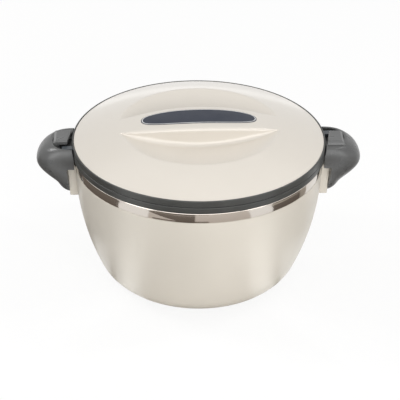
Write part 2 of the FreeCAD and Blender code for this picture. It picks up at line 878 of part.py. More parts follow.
# ------------------------------------------------------------------ assembly
def write_nodes():
    """Build every piece and write one STEP file each."""
    keeper = make_lock_keeper()
    handle = make_handle()
    bracket = make_handle_bracket()
    plate = make_backing_plate()

    node_shapes["outer_shell"] = make_outer_shell()
    node_shapes["inner_liner"] = make_inner_liner()
    node_shapes["body_foam"] = make_body_foam()
    node_shapes["rim_band"] = make_rim_band()
    node_shapes["rim_collar"] = make_rim_collar()
    node_shapes["foot_ring"] = make_foot_ring()
    node_shapes["foam_plug"] = make_foam_plug()
    node_shapes["handle_bracket_right"] = bracket
    node_shapes["handle_bracket_left"] = left_of(bracket)
    node_shapes["handle_right"] = handle
    node_shapes["handle_left"] = left_of(handle)
    node_shapes["lock_keeper_right"] = keeper
    node_shapes["lock_keeper_left"] = left_of(keeper)
    node_shapes["handle_backing_plates"] = Part.makeCompound([plate, left_of(plate)])
    node_shapes["handle_screws"] = make_handle_screws()
    node_shapes["keeper_screws"] = make_keeper_screws()
    node_shapes["lid_gasket"] = make_lid_gasket()
    node_shapes["lid_cover"] = make_lid_cover()
    node_shapes["lid_rim"] = make_lid_rim()
    node_shapes["lid_tongues"] = make_lid_tongues()
    node_shapes["lid_foam"] = make_lid_foam()
    node_shapes["lid_liner"] = make_lid_liner()
    node_shapes["label_plate"] = make_label_plate()

    os.makedirs("parts", exist_ok=True)
    for name, shape in node_shapes.items():
        shape.exportStep("parts/" + name + ".step")
        solids = len(shape.Solids)
        print(name, "valid", shape.isValid(), "solids", solids, "volume", round(shape.Volume))


write_nodes()
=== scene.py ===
# %% [markdown]
# # A round insulated serving casserole
# The pot is a painted steel bowl with a steel liner inside it and foam in between. A dark
# plastic collar joins the two at the top, a polished band trims the collar's foot, and two
# dark ears carry it. The lid is a low painted dome with two scooped hollows and a grip left
# standing between them. The frame below holds the measured parts, in metres, and every new
# surface here is worked out in millimetres and then written into that same frame.

# %% Load the measured frame
import math

import bmesh
import bpy
import numpy as np
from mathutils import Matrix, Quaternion, Vector


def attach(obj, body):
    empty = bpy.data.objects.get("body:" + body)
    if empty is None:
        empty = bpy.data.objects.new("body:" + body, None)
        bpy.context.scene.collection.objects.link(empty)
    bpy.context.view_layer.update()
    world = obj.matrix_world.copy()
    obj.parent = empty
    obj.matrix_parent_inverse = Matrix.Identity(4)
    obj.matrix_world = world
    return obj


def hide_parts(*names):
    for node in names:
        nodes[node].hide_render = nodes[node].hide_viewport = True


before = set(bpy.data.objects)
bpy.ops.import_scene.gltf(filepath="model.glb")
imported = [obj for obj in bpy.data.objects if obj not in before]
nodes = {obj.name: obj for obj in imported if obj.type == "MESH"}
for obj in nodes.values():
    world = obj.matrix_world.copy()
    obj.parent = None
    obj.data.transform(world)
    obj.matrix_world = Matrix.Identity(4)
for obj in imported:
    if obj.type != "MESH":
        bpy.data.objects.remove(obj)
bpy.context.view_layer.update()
MM = 0.001

# %% [markdown]
# ## Camera
# A product picture like this is taken from a few steps away with a long lens, so that the
# rings stay round and calm. The camera stands 1.8 m off, a little above, and looks at the
# middle of the pot.

# %% Camera
CAMERA_DISTANCE = 1.8
CAMERA_HEIGHT_ANGLE = 31.1
CAMERA_TURN = 1.87
CAMERA_ROLL = 0.53
AIM = Vector((0.0, 0.0, 0.0925))
SENSOR_MM, LENS_MM = 36.0, 133.1
SHIFT_SIDE, SHIFT_UP = 0.0044, 0.0035
FAR_CLIP = 50.0


def shown(thing_name, data):
    """A new object for the data, linked into the scene."""
    thing = bpy.data.objects.new(thing_name, data)
    bpy.context.scene.collection.objects.link(thing)
    return thing


lens = bpy.data.cameras.new("camera")
lens.sensor_width, lens.lens = SENSOR_MM, LENS_MM
lens.shift_x, lens.shift_y = SHIFT_SIDE, SHIFT_UP
lens.clip_end = FAR_CLIP
camera = shown("camera", lens)
lift, swing = math.radians(CAMERA_HEIGHT_ANGLE), math.radians(CAMERA_TURN)
back = Vector((-math.sin(swing) * math.cos(lift),
               -math.cos(swing) * math.cos(lift),
               math.sin(lift)))
camera.location = AIM + CAMERA_DISTANCE * back
upright = (-back).to_track_quat("-Z", "Y")
roll = Quaternion((0, 0, 1), math.radians(CAMERA_ROLL))
camera.rotation_euler = (upright @ roll).to_euler()
bpy.context.scene.camera = camera
print("camera at", [round(x, 3) for x in camera.location])

# %% [markdown]
# ## Turned surfaces
# Most of this object is spun or moulded round one axis. Such a surface is a profile of radius
# and height carried round in a circle. Drawing the profile as corners with a rounding for
# each keeps it readable, and the rounding is what catches the light on a real edge.

# %% Rounded profiles
NEARLY_STRAIGHT = math.radians(175)


def unit(vector):
    """The vector shrunk or stretched to length one."""
    return vector / np.linalg.norm(vector)


def corner_arc(before, here, after, size, steps):
    """The points of one rounding. Its centre lies on the corner's bisector, at the rounding's
    size over the sine of half the corner's angle, and its points turn evenly from the side
    that comes in to the side that goes out. A corner without rounding stays one point."""
    a, b = unit(before - here), unit(after - here)
    angle = math.acos(max(-1.0, min(1.0, float(a @ b))))
    if size <= 0 or angle > NEARLY_STRAIGHT:
        return here[None]
    reach = size / math.tan(angle / 2)
    centre = here + unit(a + b) * size / math.sin(angle / 2)
    start = here + a * reach - centre
    end = here + b * reach - centre
    turn = math.atan2(start[0] * end[1] - start[1] * end[0], float(start @ end))
    t = np.linspace(0, turn, steps + 1)[:, None]
    square_on = np.array([-start[1], start[0]])
    return centre + np.cos(t) * start + np.sin(t) * square_on


def rounded(corners, steps=6):
    """An array of (radius, height) along (radius, height, rounding) corners."""
    table = np.array(corners, float)
    places, sizes = table[:, :2], table[:, 2]
    before, after = np.roll(places, 1, axis=0), np.roll(places, -1, axis=0)
    return np.concatenate([
        corner_arc(*corner, steps) for corner in zip(before, places, after, sizes)
    ])


print("rounded profiles ready")

# %% [markdown]
# ### From points to a mesh
# A grid of points needs only its index numbers to become faces: each square joins a point to
# its neighbours to the right and in the next row. Afterwards the doubled points at a pole are
# merged, the faces are turned outward, and only real edges are left sharp, because a smoothly
# shaded curve is what makes turned metal look turned.

# %% Grids, tidying and the lathe
MERGE_M, COLLAPSED_M = 1e-6, 1e-7
TURNED_SHARP, LID_SHARP, MOULDED_SHARP = 35.0, 50.0, 60.0


def grid_mesh(name, points, wrap_rows):
    """A mesh from a grid of points, rows by columns by xyz in millimetres. The columns close
    on themselves, and so do the rows where wrap_rows says so. A first or last row of radius
    nought becomes a single point with a fan of triangles round it."""
    rows, columns = points.shape[:2]
    index = np.arange(rows * columns).reshape(rows, columns)
    if wrap_rows:
        index = np.vstack([index, index[:1]])
    right = np.roll(index, -1, axis=1)
    quads = np.stack([index[:-1], right[:-1], right[1:], index[1:]], axis=-1).reshape(-1, 4)
    mesh = bpy.data.meshes.new(name)
    mesh.from_pydata((points.reshape(-1, 3) * MM).tolist(), [], quads.tolist())
    return shown(name, mesh)


def tidy_mesh(piece, sharp):
    """Merges doubled points, drops collapsed faces, turns the faces outward and shades smoothly
    except across edges where the surface turns by more than the given degrees."""
    made = bmesh.new()
    made.from_mesh(piece.data)
    bmesh.ops.remove_doubles(made, verts=made.verts, dist=MERGE_M)
    bmesh.ops.dissolve_degenerate(made, edges=made.edges, dist=COLLAPSED_M)
    bmesh.ops.recalc_face_normals(made, faces=made.faces)
    made.to_mesh(piece.data)
    volume = made.calc_volume(signed=True)
    open_edges = sum(1 for edge in made.edges if not edge.is_manifold)
    made.free()
    if volume < 0:
        piece.data.flip_normals()
    piece.data.shade_smooth()
    piece.data.set_sharp_from_angle(angle=math.radians(sharp))
    print(piece.name, len(piece.data.polygons), "faces, open edges", open_edges)
    return piece


def lathe(name, profile, columns):
    """A closed solid of revolution. Each point (r, z) of the profile goes round the axis as
    (r cos a, r sin a, z) while the angle a runs once round. A profile that starts on the axis
    also ends there, and then its last point isn't joined to its first."""
    angle = np.linspace(0, 2 * math.pi, columns, endpoint=False)
    radius, height = profile[:, :1], profile[:, 1:]
    points = np.stack(
        [radius * np.cos(angle), radius * np.sin(angle), height + 0 * angle], axis=-1
    )
    return tidy_mesh(grid_mesh(name, points, profile[0, 0] > 0), TURNED_SHARP)


def stand_for(piece, material, body, *replaced, slot):
    """The new piece takes its finish, rides on a body and hides the measured part it stands for,
    where there is one. Its slot argument is not used."""
    piece.data.materials.append(material)
    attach(piece, body)
    if replaced:
        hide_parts(*replaced)


print("grids and the lathe ready")

# %% [markdown]
# ## Moulded corners
# A moulded or pressed piece has no knife edges: the tool leaves half a millimetre to a
# millimetre of rounding, outside and inside. The measured ears, hooks, tongues and brackets
# are exact but sharp. Bevelling a mesh of loose triangles leaves creases where three corners
# meet, so each piece is copied instead, its triangles are joined and recut into small even
# squares, and every point is then eased toward its neighbours a few times. Flat faces stay
# flat under that, and edges turn into roundings about as wide as the squares times the
# rounds of easing.

# %% Softened copies
def eased(points, edges, rounds):
    """Each round moves a point halfway to the mean of the points it shares an edge with: the
    sum of its neighbours, counted over both ends of every edge, over their number."""
    ends = np.concatenate([edges[:, 0], edges[:, 1]])
    others = np.concatenate([edges[:, 1], edges[:, 0]])
    count = np.bincount(ends, minlength=len(points))[:, None]
    for _ in range(rounds):
        total = np.stack(
            [np.bincount(ends, points[others, axis], len(points)) for axis in range(3)], axis=1
        )
        points = 0.5 * points + 0.5 * total / count
    return points


def softened(name, source, square_mm, rounds, reshape=None):
    """A copy of a measured part with its triangles joined, recut into squares of the given size
    and eased. A last reshaping of its points, in millimetres, is optional."""
    mesh = nodes[source].data.copy()
    joined = bmesh.new()
    joined.from_mesh(mesh)
    bmesh.ops.remove_doubles(joined, verts=joined.verts, dist=MERGE_M)
    joined.to_mesh(mesh)
    joined.free()
    piece = shown(name, mesh)
    recut = piece.modifiers.new("recut", "REMESH")
    recut.mode = "VOXEL"
    recut.voxel_size = square_mm * MM
    graph = bpy.context.evaluated_depsgraph_get()
    piece.data = bpy.data.meshes.new_from_object(piece.evaluated_get(graph))
    piece.modifiers.clear()
    points = np.empty(len(piece.data.vertices) * 3)
    edges = np.empty(len(piece.data.edges) * 2, dtype=np.int64)
    piece.data.vertices.foreach_get("co", points)
    piece.data.edges.foreach_get("vertices", edges)
    points = eased(points.reshape(-1, 3), edges.reshape(-1, 2), rounds)
    if reshape:
        points = reshape(points / MM) * MM
    piece.data.vertices.foreach_set("co", points.ravel())
    piece.data.materials.clear()
    return tidy_mesh(piece, MOULDED_SHARP)


print("softened copies ready")

# %% [markdown]
# ## Finishes
# Each finish is a Principled shader whose colour, roughness or bump is varied by noise in
# object coordinates. Values that are the same all over go straight onto the shader's sockets.

# %% Material helpers
def finish(name, colour, roughness, metallic=0.0, **sockets):
    """A new material with one Principled shader, and its plain values set on the sockets."""
    material = bpy.data.materials.new(name)
    material.use_nodes = True
    shader = material.node_tree.nodes["Principled BSDF"]
    shader.inputs["Base Color"].default_value = (*colour, 1.0)
    shader.inputs["Roughness"].default_value = roughness
    shader.inputs["Metallic"].default_value = metallic
    for key, value in sockets.items():
        shader.inputs[key.replace("_", " ")].default_value = value
    return material


def add(material, kind, **values):
    """A new node in the material, with properties and input values by name."""
    node = material.node_tree.nodes.new("ShaderNode" + kind)
    for key, value in values.items():
        if hasattr(node, key):
            setattr(node, key, value)
        else:
            node.inputs[key.replace("_", " ")].default_value = value
    return node


def join(material, source, target):
    """A link from one node's output to another's input."""
    material.node_tree.links.new(source, target)


def drive(material, value, socket):
    """A link from a node's output to a socket of the material's own shader."""
    join(material, value, shader_of(material).inputs[socket])


def shader_of(material):
    """The material's Principled shader."""
    return material.node_tree.nodes["Principled BSDF"]


def coordinates(material, scale=(1.0, 1.0, 1.0), shift=(0.0, 0.0, 0.0)):
    """Object coordinates, stretched and shifted by a Mapping node."""
    source = add(material, "TexCoord")
    mapping = add(material, "Mapping", Scale=scale, Location=shift)
    join(material, source.outputs["Object"], mapping.inputs["Vector"])
    return mapping.outputs["Vector"]


def noise(material, vector, scale, detail=4.0, roughness=0.55):
    """Soft noise with about this many lumps to the metre. Detail adds finer lumps to it."""
    node = add(material, "TexNoise", Scale=scale, Detail=detail, Roughness=roughness)
    join(material, vector, node.inputs["Vector"])
    return node.outputs["Fac"]


def ranged(material, value, low, high, from_low=0.3, from_high=0.7):
    """Spreads a value from one range onto another."""
    node = add(material, "MapRange", From_Min=from_low, From_Max=from_high,
               To_Min=low, To_Max=high)
    join(material, value, node.inputs["Value"])
    return node.outputs["Result"]


def tinted(material, value, dark, light):
    """Mixes two colours by a value."""
    node = add(material, "Mix", data_type="RGBA")
    join(material, value, node.inputs["Factor"])
    node.inputs["A"].default_value = (*dark, 1.0)
    node.inputs["B"].default_value = (*light, 1.0)
    return node.outputs["Result"]


def bumped(material, height, strength, depth_mm, after=None):
    """A bump of the given depth, laid over an earlier one where there is one."""
    node = add(material, "Bump", Strength=strength, Distance=depth_mm * MM)
    join(material, height, node.inputs["Height"])
    if after is not None:
        join(material, after, node.inputs["Normal"])
    drive(material, node.outputs["Normal"], "Normal")
    return node.outputs["Normal"]


print("material helpers ready")

# %% [markdown]
# ### Pearl paint
# The bowl and the lid are sprayed with a warm champagne paint that has fine metal flake in it
# and a clear coat on top. Flake is a very fine bump, orange peel is a broad faint one, and
# the colour drifts by a percent or two, as sprayed coats do.

# %% Pearl paint
def pearl_paint(name, dark, light, metallic, roughness, coat, shine):
    """Sprayed metallic paint: a tint that drifts over hand-sized patches, sparkling flake that
    varies the roughness from grain to grain, and orange peel under a clear coat."""
    material = finish(name, light, roughness, metallic, Coat_Weight=coat, Coat_Roughness=0.12,
                      Specular_IOR_Level=shine)
    where = coordinates(material)
    drift = ranged(material, noise(material, where, 9.0, 3.0), 0, 1)
    drive(material, tinted(material, drift, dark, light), "Base Color")
    flake = noise(material, where, 4200.0, 2.0, 0.8)
    drive(material, ranged(material, flake, roughness - 0.05, roughness + 0.05), "Roughness")
    peel = noise(material, where, 260.0, 2.0, 0.4)
    soft = bumped(material, peel, 0.12, 0.05)
    bumped(material, flake, 0.10, 0.02, soft)
    return material


BODY_LIGHT = (0.598, 0.560, 0.495)
BODY_DARK = (0.573, 0.535, 0.471)
LID_LIGHT = (0.670, 0.624, 0.558)
LID_DARK = (0.648, 0.602, 0.536)
body_paint = pearl_paint("pearl_body_paint", BODY_DARK, BODY_LIGHT, 0.10, 0.42, 0.12, 0.35)
lid_paint = pearl_paint("pearl_lid_paint", LID_DARK, LID_LIGHT, 0.05, 0.32, 0.8, 0.5)
print("pearl paint ready")

# %% [markdown]
# ### Steel
# The trim band is polished like a mirror, though rolled strip is never quite flat, so a long
# soft wave bends what it reflects, and polishing leaves hairlines that run round it. The liner
# and the lid's underside are spun and brushed: fine grooves ring the axis, and the gloss is
# uneven where hands and water have been. Both are full metals, so their tint is their shine.

# %% Steel
BAND_TINT, LINER_TINT = (0.68, 0.63, 0.575), (0.58, 0.57, 0.555)
SPIN_CENTRE = 0.15


def polished(name, tint):
    """Mirror steel: smears that change the gloss, a wave that bends reflections, and hairlines
    drawn out along the band by squeezing the noise's height."""
    material = finish(name, tint, 0.07, 1.0)
    smear = noise(material, coordinates(material), 55.0, 4.0)
    drive(material, ranged(material, smear, 0.05, 0.12), "Roughness")
    wave = noise(material, coordinates(material, (1.0, 1.0, 0.4)), 16.0, 2.0, 0.4)
    soft = bumped(material, wave, 0.35, 0.6)
    hair = noise(material, coordinates(material, (60.0, 60.0, 2200.0)), 1.0, 2.0, 0.6)
    bumped(material, hair, 0.05, 0.02, soft)
    return material


def spun(name, tint):
    """Brushed steel: the grooves are shells round a point SPIN_CENTRE metres under the pot, so
    that they ring the upright wall as well as the flat floor."""
    material = finish(name, tint, 0.24, 1.0, Anisotropic=0.5)
    rings = add(material, "TexWave", wave_type="RINGS", rings_direction="SPHERICAL",
                Scale=260.0, Distortion=0.3, Detail=1.0, Detail_Scale=1.0)
    join(material, coordinates(material, shift=(0.0, 0.0, SPIN_CENTRE)), rings.inputs["Vector"])
    smear = noise(material, coordinates(material), 30.0, 4.0)
    drive(material, ranged(material, smear, 0.20, 0.28), "Roughness")
    bumped(material, rings.outputs["Fac"], 0.1, 0.02)
    return material


band_steel = polished("polished_band_steel", BAND_TINT)
spun_steel = spun("spun_steel", LINER_TINT)
print("steel ready")

# %% [markdown]
# ### Moulded plastic and rubber
# Collar, lid ring and ears are dark grey plastic from a lightly grained mould. The grain is a
# half-millimetre bump, and handling leaves some places a little glossier than others. The
# hook blocks are moulded apart from the ears. Their paler grey is a painted highlight for the
# light on their tops. The tongues are a bluish plastic. The rubber of the foot is duller and
# coarser than any plastic.

# %% Plastic and rubber
def moulded(name, dark, light, roughness, grain_mm=0.5, depth_mm=0.03, **sockets):
    """Grained plastic or rubber: a tint that drifts, gloss that handling has made uneven, and a
    leathery grain of the given width and depth."""
    material = finish(name, light, roughness, **sockets)
    where = coordinates(material)
    drift = ranged(material, noise(material, where, 24.0, 4.0), 0, 1)
    drive(material, tinted(material, drift, dark, light), "Base Color")
    gloss = noise(material, where, 60.0, 4.0)
    drive(material, ranged(material, gloss, roughness - 0.06, roughness + 0.08), "Roughness")
    grain = noise(material, where, 1000.0 / grain_mm, 2.0, 0.5)
    bumped(material, grain, 0.35, depth_mm)
    return material


ring_plastic = moulded("dark_ring_plastic",
                       (0.036, 0.037, 0.035), (0.048, 0.049, 0.046), 0.34)
ear_plastic = moulded("dark_ear_plastic",
                      (0.060, 0.061, 0.061), (0.078, 0.079, 0.078), 0.30,
                      Specular_IOR_Level=0.55)
# The hook blocks' paler grey is a painted highlight for the light on their tops.
hook_plastic_painted_highlight = moulded("hook_plastic_painted_highlight",
                       (0.086, 0.087, 0.087), (0.108, 0.109, 0.109), 0.30,
                       Specular_IOR_Level=0.6)
tongue_plastic = moulded("tongue_plastic",
                         (0.040, 0.048, 0.056), (0.055, 0.064, 0.074), 0.32)
foot_rubber = moulded("foot_rubber",
                      (0.030, 0.030, 0.030), (0.042, 0.042, 0.041), 0.72,
                      grain_mm=0.8, depth_mm=0.05)
gasket_rubber = moulded("gasket_rubber",
                        (0.60, 0.60, 0.58), (0.68, 0.68, 0.66), 0.50,
                        grain_mm=0.9, depth_mm=0.03)
print("plastic and rubber ready")

# %% [markdown]
# ### What hides inside
# The foam is poured and sets with small closed cells. The screws are zinc-plated, with a
# cloudy pale blue-grey shine. Neither shows on the closed pot, but both are there to be seen
# wherever the model is taken apart. The measured meshes of these pieces are good as they are,
# so they only get a finish.

# %% Foam, screws and plates
FOAM_DARK, FOAM_LIGHT = (0.66, 0.55, 0.33), (0.82, 0.72, 0.48)
ZINC_DARK, ZINC_LIGHT = (0.52, 0.54, 0.57), (0.70, 0.71, 0.72)


def foamed(name):
    """Set foam: cells about a millimetre wide, darker and deeper at their middles."""
    material = finish(name, FOAM_LIGHT, 0.85)
    cells = add(material, "TexVoronoi", Scale=900.0)
    join(material, coordinates(material), cells.inputs["Vector"])
    spot = ranged(material, cells.outputs["Distance"], 0, 1, 0.0, 0.7)
    drive(material, tinted(material, spot, FOAM_DARK, FOAM_LIGHT), "Base Color")
    bumped(material, cells.outputs["Distance"], 0.6, 0.3)
    return material


def plated(name):
    """Zinc plate: small clouds that are paler where they are rougher."""
    material = finish(name, ZINC_LIGHT, 0.3, 1.0)
    cloud = noise(material, coordinates(material), 700.0, 4.0)
    drive(material, ranged(material, cloud, 0.2, 0.45), "Roughness")
    tint = tinted(material, ranged(material, cloud, 0, 1), ZINC_DARK, ZINC_LIGHT)
    drive(material, tint, "Base Color")
    bumped(material, cloud, 0.1, 0.05)
    return material


foam = foamed("rigid_foam")
zinc = plated("zinc_plate")


def repaint(name, material):
    """Gives a measured part its finish without touching its mesh."""
    data = nodes[name].data
    data.materials.clear()
    data.materials.append(material)


for name in ("body_foam", "lid_foam"):
    repaint(name, foam)
for name in ("handle_screws", "keeper_screws", "handle_backing_plates"):
    repaint(name, zinc)
print("measured parts repainted")

# %% [markdown]
# ### Label
# The label is printed film: a deep navy with a satin face, and a line of bright silver. Film
# has almost no grain, so the moulded finish is used with a grain that is wide and very low.

# %% Label finishes
label_navy = moulded("label_navy", (0.021, 0.026, 0.042), (0.027, 0.033, 0.051), 0.36,
                     grain_mm=1.2, depth_mm=0.004, Specular_IOR_Level=0.2)
line_silver = finish("label_line_silver", (0.90, 0.90, 0.89), 0.22, 1.0)
sparkle = noise(line_silver, coordinates(line_silver), 800.0, 2.0)
drive(line_silver, ranged(line_silver, sparkle, 0.16, 0.30), "Roughness")
print("label finishes ready")

# %% [markdown]
# ## The bowl
# The painted bowl is spun from one sheet: a flat foot with a raised middle, a round corner,
# a long side that is itself a shallow arc, and a step at the top where the polished band
# sits. Two arcs that share a tangent draw such a side without a kink.

# %% Bowl
SHEET = 0.8
FOOT_RADIUS, BODY_RADIUS = 82.3, 147.5
FOOT_HEIGHT, SHOULDER_HEIGHT = 1.0, 152.3
SIDE_TURN, SIDE_STEPS = math.radians(67.0), 28
PANEL_RADIUS, PANEL_HEIGHT = 67.0, 3.5
FILL_RADIUS = 9.0
NECK_RADIUS, NECK_TOP = 145.9, 171.0


def bowl_side(foot, mouth, low, high, inset):
    """The side of a bowl from its flat foot to its upright mouth: an arc that turns through
    SIDE_TURN, then one that turns through the rest of a right angle, both drawn in by inset
    square to the surface. Their radii follow from the width and height that they span."""
    width, depth = mouth - foot, high - low
    sine, cosine = math.sin(SIDE_TURN), math.cos(SIDE_TURN)
    corner = (width * cosine - depth * (1 - sine)) / (sine + cosine - 1)
    side = (depth * sine - width * (1 - cosine)) / (sine + cosine - 1)
    first = np.linspace(0, SIDE_TURN, SIDE_STEPS)
    second = np.linspace(SIDE_TURN, math.pi / 2, SIDE_STEPS)[1:]
    reach, far = corner - inset, side - inset
    lower = np.stack([foot + reach * np.sin(first), low + corner - reach * np.cos(first)], axis=1)
    upper = np.stack([mouth - side + far * np.sin(second), high - far * np.cos(second)], axis=1)
    return np.concatenate([lower, upper])


def plain(points):
    """Polyline points as corners without rounding."""
    return [(r, z, 0) for r, z in points]


outside = bowl_side(FOOT_RADIUS, BODY_RADIUS, FOOT_HEIGHT, SHOULDER_HEIGHT, 0)
inside = bowl_side(FOOT_RADIUS, BODY_RADIUS, FOOT_HEIGHT, SHOULDER_HEIGHT, SHEET)
raised_panel = [(FILL_RADIUS, PANEL_HEIGHT, 0), (PANEL_RADIUS, PANEL_HEIGHT, 0.6),
                (PANEL_RADIUS, FOOT_HEIGHT, 0.7)]
shoulder_and_neck = [(BODY_RADIUS, SHOULDER_HEIGHT, 0.5), (NECK_RADIUS, SHOULDER_HEIGHT, 0.2),
                     (NECK_RADIUS, NECK_TOP, 0.2), (NECK_RADIUS - SHEET, NECK_TOP, 0.2)]
panel_within = [(PANEL_RADIUS + SHEET, FOOT_HEIGHT + SHEET, 0),
                (PANEL_RADIUS + SHEET, PANEL_HEIGHT + SHEET, 0),
                (FILL_RADIUS, PANEL_HEIGHT + SHEET, 0)]
bowl_profile = rounded(raised_panel + plain(outside[:-1]) + shoulder_and_neck
                       + plain(inside[::-1]) + panel_within)
bowl = lathe("painted_bowl", bowl_profile, 320)
stand_for(bowl, body_paint, "pot", "outer_shell", slot="cream_paint")

# %% [markdown]
# ## The liner
# The liner is drawn from thinner sheet on the same two-arc plan and ends in a flange that
# lies on the collar's ledge. It shows when the lid is off.

# %% Liner
LINER_SHEET = 0.6
MOUTH_RADIUS, LINER_FOOT = 127.0, 66.0
LINER_FLOOR, FLANGE_TOP, FLANGE_WIDTH = 24.0, 171.2, 10.9
FLANGE_RADIUS, FLANGE_UNDER = MOUTH_RADIUS + FLANGE_WIDTH, FLANGE_TOP - LINER_SHEET
liner_in = bowl_side(LINER_FOOT, MOUTH_RADIUS, LINER_FLOOR, FLANGE_TOP, 0)
liner_out = bowl_side(LINER_FOOT, MOUTH_RADIUS, LINER_FLOOR, FLANGE_TOP, -LINER_SHEET)
below_flange = liner_out[liner_out[:, 1] < FLANGE_UNDER]
flange = [(MOUTH_RADIUS, FLANGE_TOP, 0.35), (FLANGE_RADIUS, FLANGE_TOP, 0.2),
          (FLANGE_RADIUS, FLANGE_UNDER, 0.2), (MOUTH_RADIUS + LINER_SHEET, FLANGE_UNDER, 0)]
liner_profile = rounded(
    [(0, LINER_FLOOR, 0)] + plain(liner_in[:-1]) + flange
    + plain(below_flange[::-1]) + [(0, LINER_FLOOR - LINER_SHEET, 0)]
)
liner = lathe("steel_liner", liner_profile, 256)
stand_for(liner, spun_steel, "pot", "inner_liner", slot="liner_steel")

# %% [markdown]
# ## Under the pot
# The pot stands on a ring of black rubber let into the raised middle of its underside, and a
# plug closes the hole through which the foam was poured. Both are small turned pieces.

# %% Foot ring and plug
RING_INNER, RING_OUTER, GROOVE = 58.7, 66.7, 0.6
PLUG_LOW, PLUG_TOP, PLUG_FLANGE, PLUG_STEM = 2.1, 4.5, 13.0, 8.8

foot_ring = lathe("rubber_foot_ring", rounded([
    (RING_INNER, PANEL_HEIGHT, 0), (RING_OUTER, PANEL_HEIGHT, 0), (RING_OUTER, 0.0, 0.9),
    (64.0, 0.0, 0.4), (63.4, GROOVE, 0.3), (62.0, GROOVE, 0.3), (61.4, 0.0, 0.4),
    (RING_INNER, 0.0, 0.9),
]), 192)
stand_for(foot_ring, foot_rubber, "pot", "foot_ring", slot="rubber")

plug = lathe("filling_plug", rounded([
    (0, PLUG_LOW, 0), (10.6, PLUG_LOW, 0.6), (PLUG_FLANGE, 2.6, 0.5),
    (PLUG_FLANGE, PANEL_HEIGHT, 0.1), (PLUG_STEM, PANEL_HEIGHT, 0.1),
    (PLUG_STEM, PLUG_TOP, 0.3), (0, PLUG_TOP, 0),
]), 96)
stand_for(plug, ring_plastic, "pot", "foam_plug", slot="dark_plastic")

# %% [markdown]
# ## The band
# The band is a polished strip, rolled slightly barrel-shaped, with a narrow lip rolled outward
# along its upper edge. The lip is what draws the thin bright line under the collar. Mirror
# steel shows every flat in a mesh, so the barrel has many rows and the circle many columns.

# %% Polished band
BAND_LOW, BAND_HIGH = 152.6, 166.8
BAND_INNER, BAND_OUTER, BULGE = 146.2, 147.0, 0.4
LIP_LOW, LIP_HIGH, LIP_OUTER = 163.2, 165.5, 148.3
LIP_INNER = BAND_OUTER - 0.4
FREE_END = 0.35

from_middle = np.linspace(-1, 1, 11)
half_band = 0.5 * (LIP_LOW - BAND_LOW) - FREE_END
barrel = np.stack([
    BAND_OUTER + BULGE * (1 - from_middle ** 2),
    0.5 * (BAND_LOW + LIP_LOW) + from_middle * half_band,
], axis=1)
lip = [(BAND_OUTER, LIP_LOW, 0.3), (LIP_OUTER, LIP_LOW + 0.3, 0.5), (LIP_OUTER, LIP_HIGH, 1.1),
       (LIP_INNER, LIP_HIGH, 0.1), (LIP_INNER, BAND_HIGH, 0.1), (BAND_INNER, BAND_HIGH, 0)]
band_profile = rounded(
    [(BAND_INNER, BAND_LOW, 0), (BAND_OUTER, BAND_LOW, 0.3)] + plain(barrel) + lip, 5
)
band = lathe("polished_band", band_profile, 360)
stand_for(band, band_steel, "pot", "rim_band", slot="polished_steel")

# %% [markdown]
# ## Collar and lid ring
# The collar ties bowl and liner together, and the lid's ring sits just above it: two dark
# steps with an open line between them. Their outer corners have a millimetre of rounding,
# which draws the thin highlights that tell the two rings apart. Both are moulded, and a
# moulding's section is a closed profile with a small rounding at each corner.

# %% Collar
COLLAR_RADIUS, COLLAR_FOOT, COLLAR_TOP = 150.0, 167.1, 173.8
LEDGE_RADIUS, LEDGE, LEDGE_UNDER = 138.2, 170.6, 167.2
COLLAR_SKIRT = 163.5
NECK_GROOVE = 171.3

collar_profile = rounded([
    (COLLAR_RADIUS, COLLAR_FOOT, 0.5), (COLLAR_RADIUS, COLLAR_TOP, 0.9),
    (LEDGE_RADIUS, COLLAR_TOP, 0.3), (LEDGE_RADIUS, LEDGE, 0.2), (127.9, LEDGE, 0.3),
    (127.9, COLLAR_SKIRT, 0.2), (130.3, COLLAR_SKIRT, 0.2), (130.3, LEDGE_UNDER, 0.3),
    (142.9, LEDGE_UNDER, 0.3), (142.9, COLLAR_SKIRT, 0.2), (144.9, COLLAR_SKIRT, 0.2),
    (144.9, NECK_GROOVE, 0.1), (146.1, NECK_GROOVE, 0.1), (146.1, COLLAR_FOOT, 0),
])
collar = lathe("dark_collar", collar_profile, 320)
stand_for(collar, ring_plastic, "pot", "rim_collar", slot="dark_plastic")

# %% [markdown]
# ### Lid ring
# One dark moulding does three jobs. Its outer wall is the ring that shows under the cover, its
# web carries the cover, and a short wall under the web centres the lid in the collar and holds
# the gasket. It is turned like the collar, because all its walls are round, and it stands half
# a millimetre over the collar, so that a fine dark line parts the two.

# %% Lid ring
RIM_LOW, RIM_HIGH = 174.3, 182.3
WEB_UNDER, WEB_TOP = 176.5, 179.0
COVER_SEAT, SKIRT_INNER, WEB_INNER = 148.3, 147.3, 132.0
GASKET_WALL = (135.7, 137.6)
GASKET_WALL_FOOT = 172.2

lid_ring_profile = rounded([
    (149.6, RIM_LOW, 0.2), (COLLAR_RADIUS, RIM_LOW + 0.4, 0.2), (COLLAR_RADIUS, RIM_HIGH, 0.9),
    (COVER_SEAT, RIM_HIGH, 0.35), (COVER_SEAT, WEB_TOP, 0.1), (WEB_INNER, WEB_TOP, 0.2),
    (WEB_INNER, WEB_UNDER, 0.2), (GASKET_WALL[0], WEB_UNDER, 0.2),
    (GASKET_WALL[0], GASKET_WALL_FOOT, 0.3), (GASKET_WALL[1], GASKET_WALL_FOOT, 0.3),
    (GASKET_WALL[1], WEB_UNDER, 0.2), (SKIRT_INNER, WEB_UNDER, 0.2), (SKIRT_INNER, RIM_LOW, 0.2),
])
lid_ring = lathe("dark_lid_ring", lid_ring_profile, 320)
stand_for(lid_ring, ring_plastic, "lid", "lid_rim", slot="dark_plastic")

# %% [markdown]
# ## Under the lid
# A shallow steel pan closes the lid from below, and a pale rubber gasket runs round it. The
# gasket's lip is what presses on the liner's flange, so its section comes to a rounded tip.
# They show when the lid is lifted.

